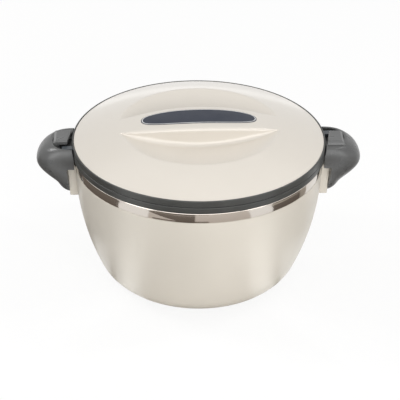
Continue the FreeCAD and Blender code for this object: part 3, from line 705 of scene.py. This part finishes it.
# %% Lid pan and gasket
PAN_FLOOR, PAN_RADIUS, PAN_SHEET = 160.2, 123.5, 0.6
PAN_FLANGE, PAN_FLANGE_UNDER = 134.8, WEB_UNDER - PAN_SHEET
PAN_INNER, PAN_BEND = PAN_RADIUS - PAN_SHEET, 8.0
GASKET_INNER, GASKET_OUTER, GASKET_TOP = 129.8, 135.4, 175.6

pan = lathe("lid_pan", rounded([
    (0, PAN_FLOOR, 0), (PAN_RADIUS, PAN_FLOOR, PAN_BEND), (PAN_RADIUS, PAN_FLANGE_UNDER, 0.3),
    (PAN_FLANGE, PAN_FLANGE_UNDER, 0.2), (PAN_FLANGE, WEB_UNDER, 0.2),
    (PAN_INNER, WEB_UNDER, 0.5), (PAN_INNER, PAN_FLOOR + PAN_SHEET, PAN_BEND - PAN_SHEET),
    (0, PAN_FLOOR + PAN_SHEET, 0),
], 10), 256)
stand_for(pan, spun_steel, "lid", "lid_liner", slot="liner_steel")

gasket = lathe("pale_gasket", rounded([
    (GASKET_INNER, GASKET_TOP, 0.4), (GASKET_INNER, 173.6, 0.4), (132.8, 171.5, 0.6),
    (133.7, 171.8, 0.3), (GASKET_OUTER, 173.8, 0.3), (GASKET_OUTER, GASKET_TOP, 0.4),
]), 256)
stand_for(gasket, gasket_rubber, "lid_seal", "lid_gasket", slot="gasket_rubber")

# %% [markdown]
# ## Ears, hooks, tongues and brackets
# Each ear is one moulding, hollow behind, that carries a hook block on top. The lid's tongue
# slides under that block. The ear is screwed to a painted bracket that is welded to the bowl.
# Their mouldings are told from cut blocks by their roundings: about a millimetre on the ear,
# half of that on the small block and the tongue. Two shapes are finished afterwards, as a maker
# would: the block grows over the slot beside it and slopes down to the ear, and the bracket is
# drawn against the bowl where the weld fills the corner.

# %% Shapes that the softened copies get
SLOPE_TOP, SLOPE_FALL, SLOPE_REACH = 184.0, 8.0, 4.5
BLOCK_END, END_WIDTH, END_GROWTH = -8.0, 5.0, 1.0
BLOCK_SIDE, SIDE_WIDTH, SIDE_GROWTH = 158.0, 6.0, 3.9
WELD_REACH, WELD_FADE, WELD_PULL = 3.0, 2.0, 1.8


def smooth(value):
    """Runs from nought to one between nought and one, level at both ends."""
    value = np.clip(value, 0, 1)
    return value * value * (3 - 2 * value)


def grown_hook(turned):
    """The block's outer side is drawn out over the slot beside it, and its closed end forward
    into a slope that reaches further the lower it is. The left block is the right one turned
    half round, so both its plane directions change sign."""
    def reshape(points):
        """The same rule for either side, in millimetres."""
        x, y, z = points[:, 0] * turned, points[:, 1] * turned, points[:, 2]
        growth = END_GROWTH + SLOPE_REACH * np.clip((SLOPE_TOP - z) / SLOPE_FALL, 0, 1)
        x = x + SIDE_GROWTH * smooth((x - BLOCK_SIDE) / SIDE_WIDTH)
        y = y - growth * smooth((BLOCK_END - y) / END_WIDTH)
        return np.stack([x * turned, y * turned, z], axis=1)
    return reshape


def welded(points):
    """Points of the bracket that lie near the bowl's side are drawn into it, by an amount that
    fades with their distance from it."""
    reach = np.hypot(points[:, 0], points[:, 1])
    bowl_reach = np.interp(points[:, 2], outside[:, 1], outside[:, 0])
    below_shoulder = points[:, 2] < SHOULDER_HEIGHT - 0.3
    nearness = np.clip((bowl_reach + WELD_REACH - reach) / WELD_FADE, 0, 1)
    shrink = 1 - WELD_PULL * nearness * below_shoulder / reach
    return points * np.stack([shrink, shrink, np.ones_like(shrink)], axis=1)


print("hook grows by", SIDE_GROWTH, "mm, bracket is drawn in by up to", WELD_PULL, "mm")

# %% [markdown]
# ### The moulded pieces, side by side
# Both sides go through the same few lines, since the left pieces are the right ones turned half
# round. The small block is a moulding of its own, and its plastic is paler than the ear's: a
# painted highlight for the light on its top. The two tongues are one piece of the lid and move
# with it.

# %% Ears, hooks, brackets and tongues
EAR_SQUARE, HOOK_SQUARE, BRACKET_SQUARE = 0.6, 0.3, 0.45
MOULDED_ROUNDS, TONGUE_ROUNDS, BRACKET_ROUNDS = 5, 4, 3

for side, turned in (("right", 1), ("left", -1)):
    ear = softened("ear_" + side, "handle_" + side, EAR_SQUARE, MOULDED_ROUNDS)
    stand_for(ear, ear_plastic, "pot", "handle_" + side, slot="dark_plastic")
    hook = softened("hook_block_" + side, "lock_keeper_" + side, HOOK_SQUARE,
                    MOULDED_ROUNDS, grown_hook(turned))
    stand_for(hook, hook_plastic_painted_highlight, "pot", "lock_keeper_" + side, slot="dark_plastic")
    bracket = softened("painted_bracket_" + side, "handle_bracket_" + side, BRACKET_SQUARE,
                       BRACKET_ROUNDS, welded)
    stand_for(bracket, body_paint, "pot", "handle_bracket_" + side, slot="cream_paint")

tongues = softened("lid_tongue_pair", "lid_tongues", HOOK_SQUARE, TONGUE_ROUNDS)
stand_for(tongues, tongue_plastic, "lid", "lid_tongues", slot="tongue_plastic")

# %% [markdown]
# ## The lid
# The lid is a shallow dome. Two round hollows are scooped out of it, and between them the dome
# is left standing as a grip whose walls lean a little. Every edge is rounded. One way would be
# to cut solids and bevel the result, but a bevel fails where the wall runs out to nothing at
# the hollow's rim. So the lid is worked out as a height over the plane instead: a dome, minus a
# hollow, and between them a wall that joins the two.

# %% Sizes of the lid
GRIP_TURN = math.radians(2.0)
CROWN = 209.0
COVER_RADIUS, COVER_EDGE, COVER_WALL = 148.0, 182.0, 2.5
DISH_RADIUS, DISH_FLOOR = 95.0, 184.5
GRIP_HALF, GRIP_END_HALF, LEAN = 28.6, 15.6, 1.4 / 24.5
CREST, FOOT, CORNER = 3.4, 7.0, 0.7
LEAST_CREST, CREST_SHARE, FOOT_SHARE = 0.9, 0.38, 0.55
HAIR = 1e-4
SOFT_RIM = 0.9

rise = CROWN - COVER_EDGE
DOME = (COVER_RADIUS ** 2 + rise ** 2) / (2 * rise)
dome_at_dish = CROWN - DOME + math.sqrt(DOME ** 2 - DISH_RADIUS ** 2)
sag = dome_at_dish - DISH_FLOOR
DISH = (DISH_RADIUS ** 2 + sag ** 2) / (2 * sag)
bow_sag = GRIP_HALF - GRIP_END_HALF
BOW = (DISH_RADIUS ** 2 + bow_sag ** 2) / (2 * bow_sag)
BOW_CENTRE = BOW - GRIP_HALF
TANGENT = math.tan((math.pi / 2 - math.atan(LEAN)) / 2)
print("dome radius", round(DOME, 1), "hollow radius", round(DISH, 1), "grip arc", round(BOW, 1))

# %% [markdown]
# ### Dome, hollow and wall as heights
# Every function here takes whole arrays of radii and gives whole arrays of heights. The wall
# is written as how far the surface has dropped at a distance from the grip's edge, so that
# the same few lines serve the outer face and, with every radius moved by the wall's
# thickness, the inner one. The grip is bounded by two long arcs, one to each side.

# %% Heights of the lid
def dome_height(r, inset=0.0):
    """The dome: a sphere of radius DOME whose top is at CROWN, shrunk by inset."""
    return CROWN - DOME + np.sqrt((DOME - inset) ** 2 - r ** 2)


def hollow_depth(r, inset=0.0):
    """How far the hollow's floor lies under the dome. It fades to nothing over a soft rim: the
    square of the depth plus the rim's height, over four times that height."""
    floor = DISH_FLOOR + DISH - np.sqrt((DISH + inset) ** 2 - r ** 2)
    depth = dome_height(r, inset) - floor
    fade = (np.clip(depth, -SOFT_RIM, SOFT_RIM) + SOFT_RIM) ** 2 / (4 * SOFT_RIM)
    return np.where(depth > SOFT_RIM, depth, fade)


def roundings(depth, inset=0.0):
    """Radii of the grip's crest and foot, smaller where the wall is low."""
    crest = np.minimum(max(CREST - inset, LEAST_CREST), CREST_SHARE * depth)
    foot = np.minimum(FOOT + inset, FOOT_SHARE * depth)
    return np.maximum(crest, HAIR), np.maximum(foot, HAIR)


def wall_drop(outward, depth, inset=0.0):
    """How far the surface has dropped below the dome at a distance outward from the grip's
    edge: an arc over the crest, a straight leaning wall, and an arc into the hollow's floor."""
    crest, foot = roundings(depth, inset)
    start = -crest * TANGENT
    end = LEAN * depth + foot * TANGENT
    over = crest - np.sqrt(np.maximum(crest ** 2 - np.clip(outward - start, 0, crest) ** 2, 0))
    wall = outward / LEAN
    into = depth - foot + np.sqrt(np.maximum(foot ** 2 - np.clip(end - outward, 0, foot) ** 2, 0))
    slant = np.cos(math.atan(LEAN))
    drop = np.where(wall < crest * TANGENT * slant, over, wall)
    drop = np.where(wall > depth - foot * TANGENT * slant, into, drop)
    drop = np.where(outward <= start, 0, drop)
    return np.where(outward >= end, depth, drop)


def lid_surface(angle, r, inset):
    """Height at (angle, r), where the angle is counted from the grip's own long axis."""
    side = np.abs(np.sin(angle)) * r
    along = np.cos(angle) * r
    edge = np.hypot(along, side + BOW_CENTRE) - BOW + inset
    top = dome_height(r, inset)
    outward = edge - LEAN * (CROWN - top)
    return top - wall_drop(outward, hollow_depth(r, inset), inset)


def ray_radius(angle, outward):
    """Where a ray meets the grip's edge moved outward: the far root of a circle and a line."""
    slope = BOW_CENTRE * np.abs(np.sin(angle))
    return -slope + np.sqrt(slope ** 2 + (BOW + outward) ** 2 - BOW_CENTRE ** 2)


print("the hollow's middle lies", round(float(hollow_depth(0.0)), 1), "mm under the dome")

# %% [markdown]
# ### The rays of the lid
# The grid that carries those heights is a fan of rays from the axis. Evenly spaced rows would
# waste points on the plain dome and be too coarse at the roundings. So the rows are placed by
# what they cross: along each ray the points crowd where the grip's crest, wall and foot and
# the hollow's rim are, and each row keeps to the same feature all the way round.

# %% Rows along the rays
COLUMNS = 432
ROUND_STEPS = 9
JUST_SHORT = 0.998
WALL_KEPT_IN = (1.9, 0.5)
RIM_BEFORE, RIM_AFTER, ROW_APART = 5.0, 4.5, 0.25
WALL_SHARES = np.linspace(0.2, 0.8, 4)[:, None]
HOLLOW_ROWS, RIM_ROWS, DOME_ROWS = 10, 9, 12
angle = np.linspace(0, 2 * math.pi, COLUMNS, endpoint=False)[None]


def spaced(start, stop, count, first=False):
    """Rows between two radii that both depend on the angle, evenly shared. The starting row
    is among them only where first says so."""
    share = np.linspace(0, 1, count + 1)[:, None]
    return (start + (stop - start) * share)[0 if first else 1:]


def lid_rows(angle, inset):
    """Radii of the grid's rows along every ray, from the grip's edge outward, in four groups:
    the grip's crest, wall and foot, then the hollow, its rim, and the dome beyond. Rows over
    a rounding follow the sine of an even turn, so they crowd where it curves most. Where the
    grip runs out, the wall's rows are kept a little inside the hollow's rim."""
    edge = ray_radius(angle, -inset)
    depth = hollow_depth(np.minimum(edge, DISH_RADIUS - 1.0), inset)
    crest, foot = roundings(depth, inset)
    lean_shift = LEAN * (CROWN - dome_height(np.minimum(edge, DISH_RADIUS), inset))
    turn = np.linspace(0, math.pi / 2, ROUND_STEPS)[:, None]
    start, end = -crest * TANGENT, LEAN * depth + foot * TANGENT
    over = start + crest * np.sin(turn) * JUST_SHORT
    into = end - foot * np.sin(turn[::-1]) * JUST_SHORT
    middle = over[-1:] + (into[:1] - over[-1:]) * WALL_SHARES
    outward = np.concatenate([over, middle, into]) + lean_shift
    wall = ray_radius(angle, outward - inset)
    limit = DISH_RADIUS - np.linspace(*WALL_KEPT_IN, len(outward))[:, None]
    wall = np.minimum(wall, limit)
    after = wall[-1:]
    rim_start = np.maximum(DISH_RADIUS - RIM_BEFORE, after + ROW_APART)
    rim_end = DISH_RADIUS + RIM_AFTER + 0 * after
    last = COVER_RADIUS - inset - CORNER + 0 * after
    return (wall, spaced(after, rim_start, HOLLOW_ROWS), spaced(rim_start, rim_end, RIM_ROWS),
            spaced(rim_end, last, DOME_ROWS))


def place(radius, height):
    """Grid points from radii and heights on the rays, turned to where the grip stands."""
    turned = angle + GRIP_TURN
    return np.stack([radius * np.cos(turned), radius * np.sin(turned), height + 0 * turned],
                    axis=-1)


print("rows on each ray", sum(len(group) for group in lid_rows(angle, 0.0)))

# %% [markdown]
# ### The lid's cover
# The cover is one closed surface: the label's shallow recess, the outer face out to the edge,
# round the edge's small corner, down and in under it, and back along the inner face to the
# axis. The recess is a blunt oval, fuller at its ends than an ellipse, so its border is found
# ray by ray.

# %% Lid cover
LABEL_LONG, LABEL_WIDE, LABEL_BACK, BLUNT = 68.0, 17.5, 2.2, 2.6
RECESS_DEPTH, RECESS_GAP = 1.15, 0.15
LIP_OUT = np.array([[0.0], [0.12], [0.35]])
LIP_DOWN = np.array([[0.35], [0.1], [0.0]])
SHORT_OF_CREST, SHORT_WITHIN = 0.4, 0.3
RECESS_ROWS, GRIP_ROWS, GRIP_ROWS_WITHIN = 5, 7, 10
EDGE_TURNS = (25, 50, 75, 90)
HALVINGS, BEYOND = 30, 2


def oval_radius(gap):
    """Where a ray leaves the label's blunt oval, widened by a gap: a point is inside while
    (x / length) to the power BLUNT plus (y / width) to that power is less than one. The
    interval that holds the edge is halved until it is a hair wide."""
    low, high = 0 * angle, 0 * angle + LABEL_LONG + BEYOND
    for _ in range(HALVINGS):
        middle = 0.5 * (low + high)
        along = np.abs(middle * np.cos(angle)) / (LABEL_LONG + gap)
        across = np.abs(middle * np.sin(angle) - LABEL_BACK) / (LABEL_WIDE + gap)
        inside = along ** BLUNT + across ** BLUNT < 1
        low, high = np.where(inside, middle, low), np.where(inside, high, middle)
    return high


oval = oval_radius(RECESS_GAP)


def lid_top():
    """The outer face: the recess's floor and rounded border, the grip's top, and the rows from
    the grip's crest to the cover's edge."""
    wall, hollow, rim, dome = lid_rows(angle, 0.0)
    recess = spaced(0 * oval, oval, RECESS_ROWS, True)
    lip = oval + LIP_OUT
    grip = spaced(lip[-1:], wall[:1] - SHORT_OF_CREST, GRIP_ROWS)
    outer = np.concatenate([grip, wall, hollow, rim, dome])
    height = lid_surface(angle, outer, 0.0)
    return [
        place(recess, dome_height(recess) - RECESS_DEPTH),
        place(lip, dome_height(lip) - LIP_DOWN),
        place(outer, height),
    ]


def lid_underside():
    """The inner face, from the edge back to the axis: the same form, one wall further in."""
    wall, hollow, rim, dome = lid_rows(angle, COVER_WALL)
    grip = spaced(0 * oval, wall[:1] - SHORT_WITHIN, GRIP_ROWS_WITHIN, True)
    rows = np.concatenate([grip, wall, hollow, rim, dome])
    return place(rows, lid_surface(angle, rows, COVER_WALL))[::-1]


def lid_edge():
    """Round the corner from the dome down its upright edge, and in again underneath."""
    turn = np.radians(EDGE_TURNS)[:, None]
    corner = COVER_RADIUS - CORNER + CORNER * np.sin(turn) + 0 * angle
    level = dome_height(COVER_RADIUS - CORNER) - CORNER * (1 - np.cos(turn))
    foot = [place(radius + 0 * angle, WEB_TOP + 0 * angle)
            for radius in (COVER_RADIUS, COVER_RADIUS - COVER_WALL)]
    return [place(corner, level)] + foot


cover_points = np.concatenate(lid_top() + lid_edge() + [lid_underside()])
cover = tidy_mesh(grid_mesh("lid_cover_shell", cover_points, False), LID_SHARP)
stand_for(cover, lid_paint, "lid", "lid_cover", slot="cream_cover")

# %% [markdown]
# ## The label
# A dark oval plate is let into the top of the grip, a little behind its middle, with a fine
# bright line just inside its border. A plain ellipse would look too pointed, so the oval is
# blunted: its cosine and sine are raised to a power below one. The plate follows the dome and
# stands a fifth of a millimetre proud of it.

# %% Points on the blunt oval
PROUD, THICK = 0.2, 1.2
LINE_IN, LINE_WIDTH, LINE_HIGH, LINE_SUNK = 0.9, 0.8, 0.05, 0.1
BORDER, BORDER_HALF = 0.3, 0.08


def blunted(value):
    """Cosine or sine raised to two over BLUNT, its sign kept."""
    return np.sign(value) * np.abs(value) ** (2 / BLUNT)


def on_grip(x, y, lift_by):
    """Points of the grip's own plane, turned with it and lifted from the dome."""
    cosine, sine = math.cos(GRIP_TURN), math.sin(GRIP_TURN)
    y = y + LABEL_BACK
    height = dome_height(np.hypot(x, y)) + lift_by
    return np.stack([x * cosine - y * sine, x * sine + y * cosine, height], axis=-1)


def oval_ring(inset, lift_by):
    """One ring of points on the label's blunt oval, moved in by inset and up from the dome."""
    return on_grip((LABEL_LONG - inset) * blunted(np.cos(angle)),
                   (LABEL_WIDE - inset) * blunted(np.sin(angle)), lift_by)


def oval_disc(size, lift_by):
    """Rings that shrink to the middle by a share of the oval's size."""
    return on_grip(LABEL_LONG * size * blunted(np.cos(angle)),
                   LABEL_WIDE * size * blunted(np.sin(angle)), lift_by)


print("oval", 2 * LABEL_LONG, "by", 2 * LABEL_WIDE, "mm")

# %% [markdown]
# ### Plate and line
# The plate is rings of that oval: they spread from its middle, turn down over a small rounded
# border and close underneath. A painted line would stay as dull as the plate, so the line is
# a low flat ring of its own, laid on the plate, that catches the light as hot foil does.

# %% Label plate and its bright line
DISC_ROWS, LAST_SHARE = 12, 0.97

shares = np.linspace(0, LAST_SHARE, DISC_ROWS)[:, None]
label_points = np.concatenate([
    oval_disc(shares, PROUD), oval_ring(BORDER, PROUD),
    oval_ring(BORDER_HALF, PROUD - BORDER_HALF), oval_ring(0.0, PROUD - BORDER),
    oval_ring(0.0, PROUD - THICK),
    oval_disc(shares[::-1], PROUD - THICK),
])
label = tidy_mesh(grid_mesh("label_oval", label_points, False), LID_SHARP)
stand_for(label, label_navy, "lid", "label_plate", slot="label_navy")

inner_line = LINE_IN + LINE_WIDTH
line_points = np.concatenate([
    oval_ring(LINE_IN, PROUD - LINE_SUNK), oval_ring(LINE_IN, PROUD + LINE_HIGH),
    oval_ring(inner_line, PROUD + LINE_HIGH), oval_ring(inner_line, PROUD - LINE_SUNK),
])
bright_line = tidy_mesh(grid_mesh("label_line", line_points, True), MOULDED_SHARP)
stand_for(bright_line, line_silver, "lid", slot="polished_steel")

# %% [markdown]
# ## The studio
# The pot stands on a white sweep and is lit softly from all round. Gloss shows whatever stands
# about it, so much of the studio is there for the reflections alone. The paper is an ordinary
# rough white that takes the pot's shadow. Rays from the camera, off gloss or through a clear
# piece see it nearly as bright as the sky, and so it runs into the background without an edge.

# %% Floor
FLOOR_HALF = 6.0
PAPER_WHITE, PAPER_ROUGHNESS = (0.86, 0.86, 0.855), 0.7
PAPER_GLOW, GLOW_SHARE = 1.02, 0.85
PLAIN_WHITE = (1, 1, 1, 1)


def flat_card(name, corners):
    """A flat four-cornered piece of the studio, which is no part of the pot."""
    mesh = bpy.data.meshes.new(name)
    mesh.from_pydata([tuple(c) for c in corners], [], [(0, 1, 2, 3)])
    card = shown(name, mesh)
    return card


def for_looking_rays(owner):
    """An output that is one for rays from the camera, off gloss or through a clear piece, and
    nought for rays that carry light to a dull surface: the greatest of the three tests."""
    path = add(owner, "LightPath")
    greatest = path.outputs["Is Camera Ray"]
    for kind in ("Is Glossy Ray", "Is Transmission Ray"):
        either = add(owner, "Math", operation="MAXIMUM")
        join(owner, greatest, either.inputs[0])
        join(owner, path.outputs[kind], either.inputs[1])
        greatest = either.outputs[0]
    return greatest


floor = flat_card("floor", [(-FLOOR_HALF, -FLOOR_HALF, 0), (FLOOR_HALF, -FLOOR_HALF, 0),
                            (FLOOR_HALF, FLOOR_HALF, 0), (-FLOOR_HALF, FLOOR_HALF, 0)])
paper = finish("floor_paper", PAPER_WHITE, PAPER_ROUGHNESS)
glow = add(paper, "Emission", Strength=PAPER_GLOW, Color=PLAIN_WHITE)
weight = add(paper, "Math", operation="MULTIPLY")
weight.inputs[1].default_value = GLOW_SHARE
join(paper, for_looking_rays(paper), weight.inputs[0])
blend_paper = add(paper, "MixShader")
join(paper, weight.outputs[0], blend_paper.inputs[0])
join(paper, shader_of(paper).outputs["BSDF"], blend_paper.inputs[1])
join(paper, glow.outputs["Emission"], blend_paper.inputs[2])
output = paper.node_tree.nodes["Material Output"]
join(paper, blend_paper.outputs["Shader"], output.inputs["Surface"])
floor.data.materials.append(paper)
print("floor", 2 * FLOOR_HALF, "m wide")

# %% [markdown]
# ### Lamps and cards
# A broad lamp hangs overhead, a small strip stands high on each side, and a low fill stands in
# front. The fill lights the paint but gloss doesn't see it. The front, left and right cards are
# the other way about: they light nothing dull and are seen in gloss alone, where they draw the
# soft lights on the ears, the ring and the grip's crest. The low card behind gives the far rims
# their thin light. Each lamp faces a point near the pot's middle.

# %% Lamps and cards
# name, where it stands, what it faces, width, height, watts, rays that don't see it
LAMPS = (
    ("top_light", (0.0, 0.2, 2.2), (0, 0, 0.1), 3.0, 3.0, 9.0, ()),
    ("front_card", (0.0, -1.75, 1.15), (0, 0, 0.2), 2.4, 1.5, 19.0, ("diffuse", "camera")),
    ("front_fill", (0.55, -2.05, 0.75), (0, 0, 0.1), 1.8, 0.8, 29.5, ("glossy",)),
    ("left_strip", (-1.35, 0.28, 1.4), (-0.15, 0, 0.15), 0.4, 0.6, 9.0, ()),
    ("right_strip", (1.1, 0.1, 1.65), (0, 0, 0.12), 0.18, 0.8, 5.0, ()),
    ("back_card", (-0.25, 2.4, 0.2), (0, 0, 0.2), 3.2, 0.25, 1.3, ("camera",)),
    ("left_card", (-1.42, -1.11, 0.75), (0, 0, 0.15), 0.85, 1.2, 10.0, ("diffuse", "camera")),
    ("right_card", (1.32, -1.23, 0.75), (0, 0, 0.15), 0.60, 1.2, 5.0, ("diffuse", "camera")),
)


def softbox(name, spot, target, width, height, watts, unseen_by):
    """A rectangular lamp that faces a point."""
    data = bpy.data.lights.new(name, "AREA")
    data.shape = "RECTANGLE"
    data.size = width
    data.size_y = height
    data.energy = watts
    lamp = shown(name, data)
    lamp.location = spot
    toward = Vector(target) - Vector(spot)
    lamp.rotation_euler = toward.to_track_quat("-Z", "Y").to_euler()
    for kind in unseen_by:
        setattr(lamp, "visible_" + kind, False)


for row in LAMPS:
    softbox(*row)
print("lamps", len(LAMPS))

# %% [markdown]
# ### Cloths and glowing cards on the floor
# The polished band and the paint below it mirror the floor near the pot, so what lies there
# settles where they are dark and where they are bright. Velvet and felt lie round the pot like
# slices of a ring, with bare paper between them. Small glowing cards close to the pot put the
# long soft streaks on the paint and keep its lower sides from going dim. Only gloss sees any of
# them: to the camera and to the lamps the paper stays bare. Where two overlap, the one that
# should win lies half a millimetre higher.

# %% Cloths and glowing cards
CLOTH_STEPS = 13
NEAR, FAR = 0.085, 1.6
LOW, MIDDLE, HIGH = 0.0005, 0.001, 0.0015


def glowing(name, strength):
    """A plain self-lit card finish of the given strength."""
    made = bpy.data.materials.new(name)
    made.use_nodes = True
    light = add(made, "Emission", Strength=strength)
    join(made, light.outputs["Emission"],
         made.node_tree.nodes["Material Output"].inputs["Surface"])
    return made


def cloth_sector(name, cloth_finish, first, last, near, far, slant, level):
    """A cloth on the floor between two bearings from the pot, counted in degrees from the
    front towards the right, and two distances. Its first side may slant: at its far end it
    lies that many degrees further back. Only gloss sees it."""
    ring = []
    for distance, start in ((near, first), (far, first - slant)):
        bearing = np.radians(np.linspace(start, last, CLOTH_STEPS))
        flat = np.stack([np.sin(bearing), -np.cos(bearing), 0 * bearing], axis=1)
        ring.append(flat * distance + (0, 0, level))
    mesh = bpy.data.meshes.new(name)
    strip = [(k, k + 1, CLOTH_STEPS + k + 1, CLOTH_STEPS + k) for k in range(CLOTH_STEPS - 1)]
    mesh.from_pydata(np.concatenate(ring).tolist(), [], strip)
    cloth = shown(name, mesh)
    cloth.data.materials.append(cloth_finish)
    cloth.visible_camera = False
    cloth.visible_diffuse = False
    cloth.visible_shadow = False


velvet = finish("dark_cloth", (0.11, 0.09, 0.075), 0.9)
brown_felt = finish("brown_cloth", (0.36, 0.33, 0.29), 0.9)
grey_felt = finish("grey_cloth", (0.55, 0.51, 0.48), 0.9)
streak_glow = glowing("streak_glow", 1.9)
edge_glow = glowing("edge_glow", 1.15)

# name, finish, first and last bearing, near and far end, slant of the first side, level
CLOTHS = (
    ("cloth_left_back", velvet, -116.0, -66.0, NEAR, FAR, 0.0, LOW),
    ("cloth_left_front", grey_felt, -39.4, -4.2, NEAR, FAR, 0.0, LOW),
    ("cloth_front", velvet, -14.0, -4.2, 0.29, 0.66, 28.0, MIDDLE),
    ("cloth_right_front", grey_felt, -4.2, 38.0, NEAR, FAR, 0.0, LOW),
    ("cloth_right", velvet, 57.5, 87.3, NEAR, 0.50, 0.0, LOW),
    ("cloth_right_far", brown_felt, 57.5, 87.3, 0.50, FAR, 0.0, LOW),
    ("cloth_right_back", brown_felt, 87.3, 96.0, NEAR, FAR, 0.0, LOW),
    ("streak_left", streak_glow, -58.0, -45.0, 0.12, 0.24, 0.0, HIGH),
    ("streak_right", streak_glow, 36.0, 51.0, 0.13, 0.28, 0.0, HIGH),
    ("edge_glow_left", edge_glow, -96.0, -74.0, 0.10, 0.19, 0.0, HIGH),
    ("edge_glow_right", edge_glow, 64.0, 106.0, 0.10, 0.20, 0.0, HIGH),
    ("cloth_front_near", velvet, -36.0, 6.0, 0.17, 0.31, 0.0, MIDDLE),
)
for row in CLOTHS:
    cloth_sector(*row)
print("cloths and cards on the floor", len(CLOTHS))

# %% [markdown]
# ### Sky
# The sky lights the pot from every side at about half strength, faintly warm, as the walls of a
# light tent do. To the camera, in gloss and through clear pieces it is plain white, so that the
# paper and the sky meet unseen.

# %% Sky
SKY_TINT, SKY_STRENGTH = (1.0, 0.995, 0.985, 1), 0.48

world = bpy.data.worlds.new("studio")
bpy.context.scene.world = world
world.use_nodes = True
ambient = world.node_tree.nodes["Background"]
ambient.inputs["Color"].default_value = SKY_TINT
ambient.inputs["Strength"].default_value = SKY_STRENGTH
white = add(world, "Background", Color=PLAIN_WHITE, Strength=1.0)
mixed = add(world, "MixShader")
join(world, for_looking_rays(world), mixed.inputs[0])
join(world, ambient.outputs[0], mixed.inputs[1])
join(world, white.outputs[0], mixed.inputs[2])
join(world, mixed.outputs[0], world.node_tree.nodes["World Output"].inputs["Surface"])

bpy.context.scene.view_settings.view_transform = "Standard"
print("sky strength", SKY_STRENGTH)
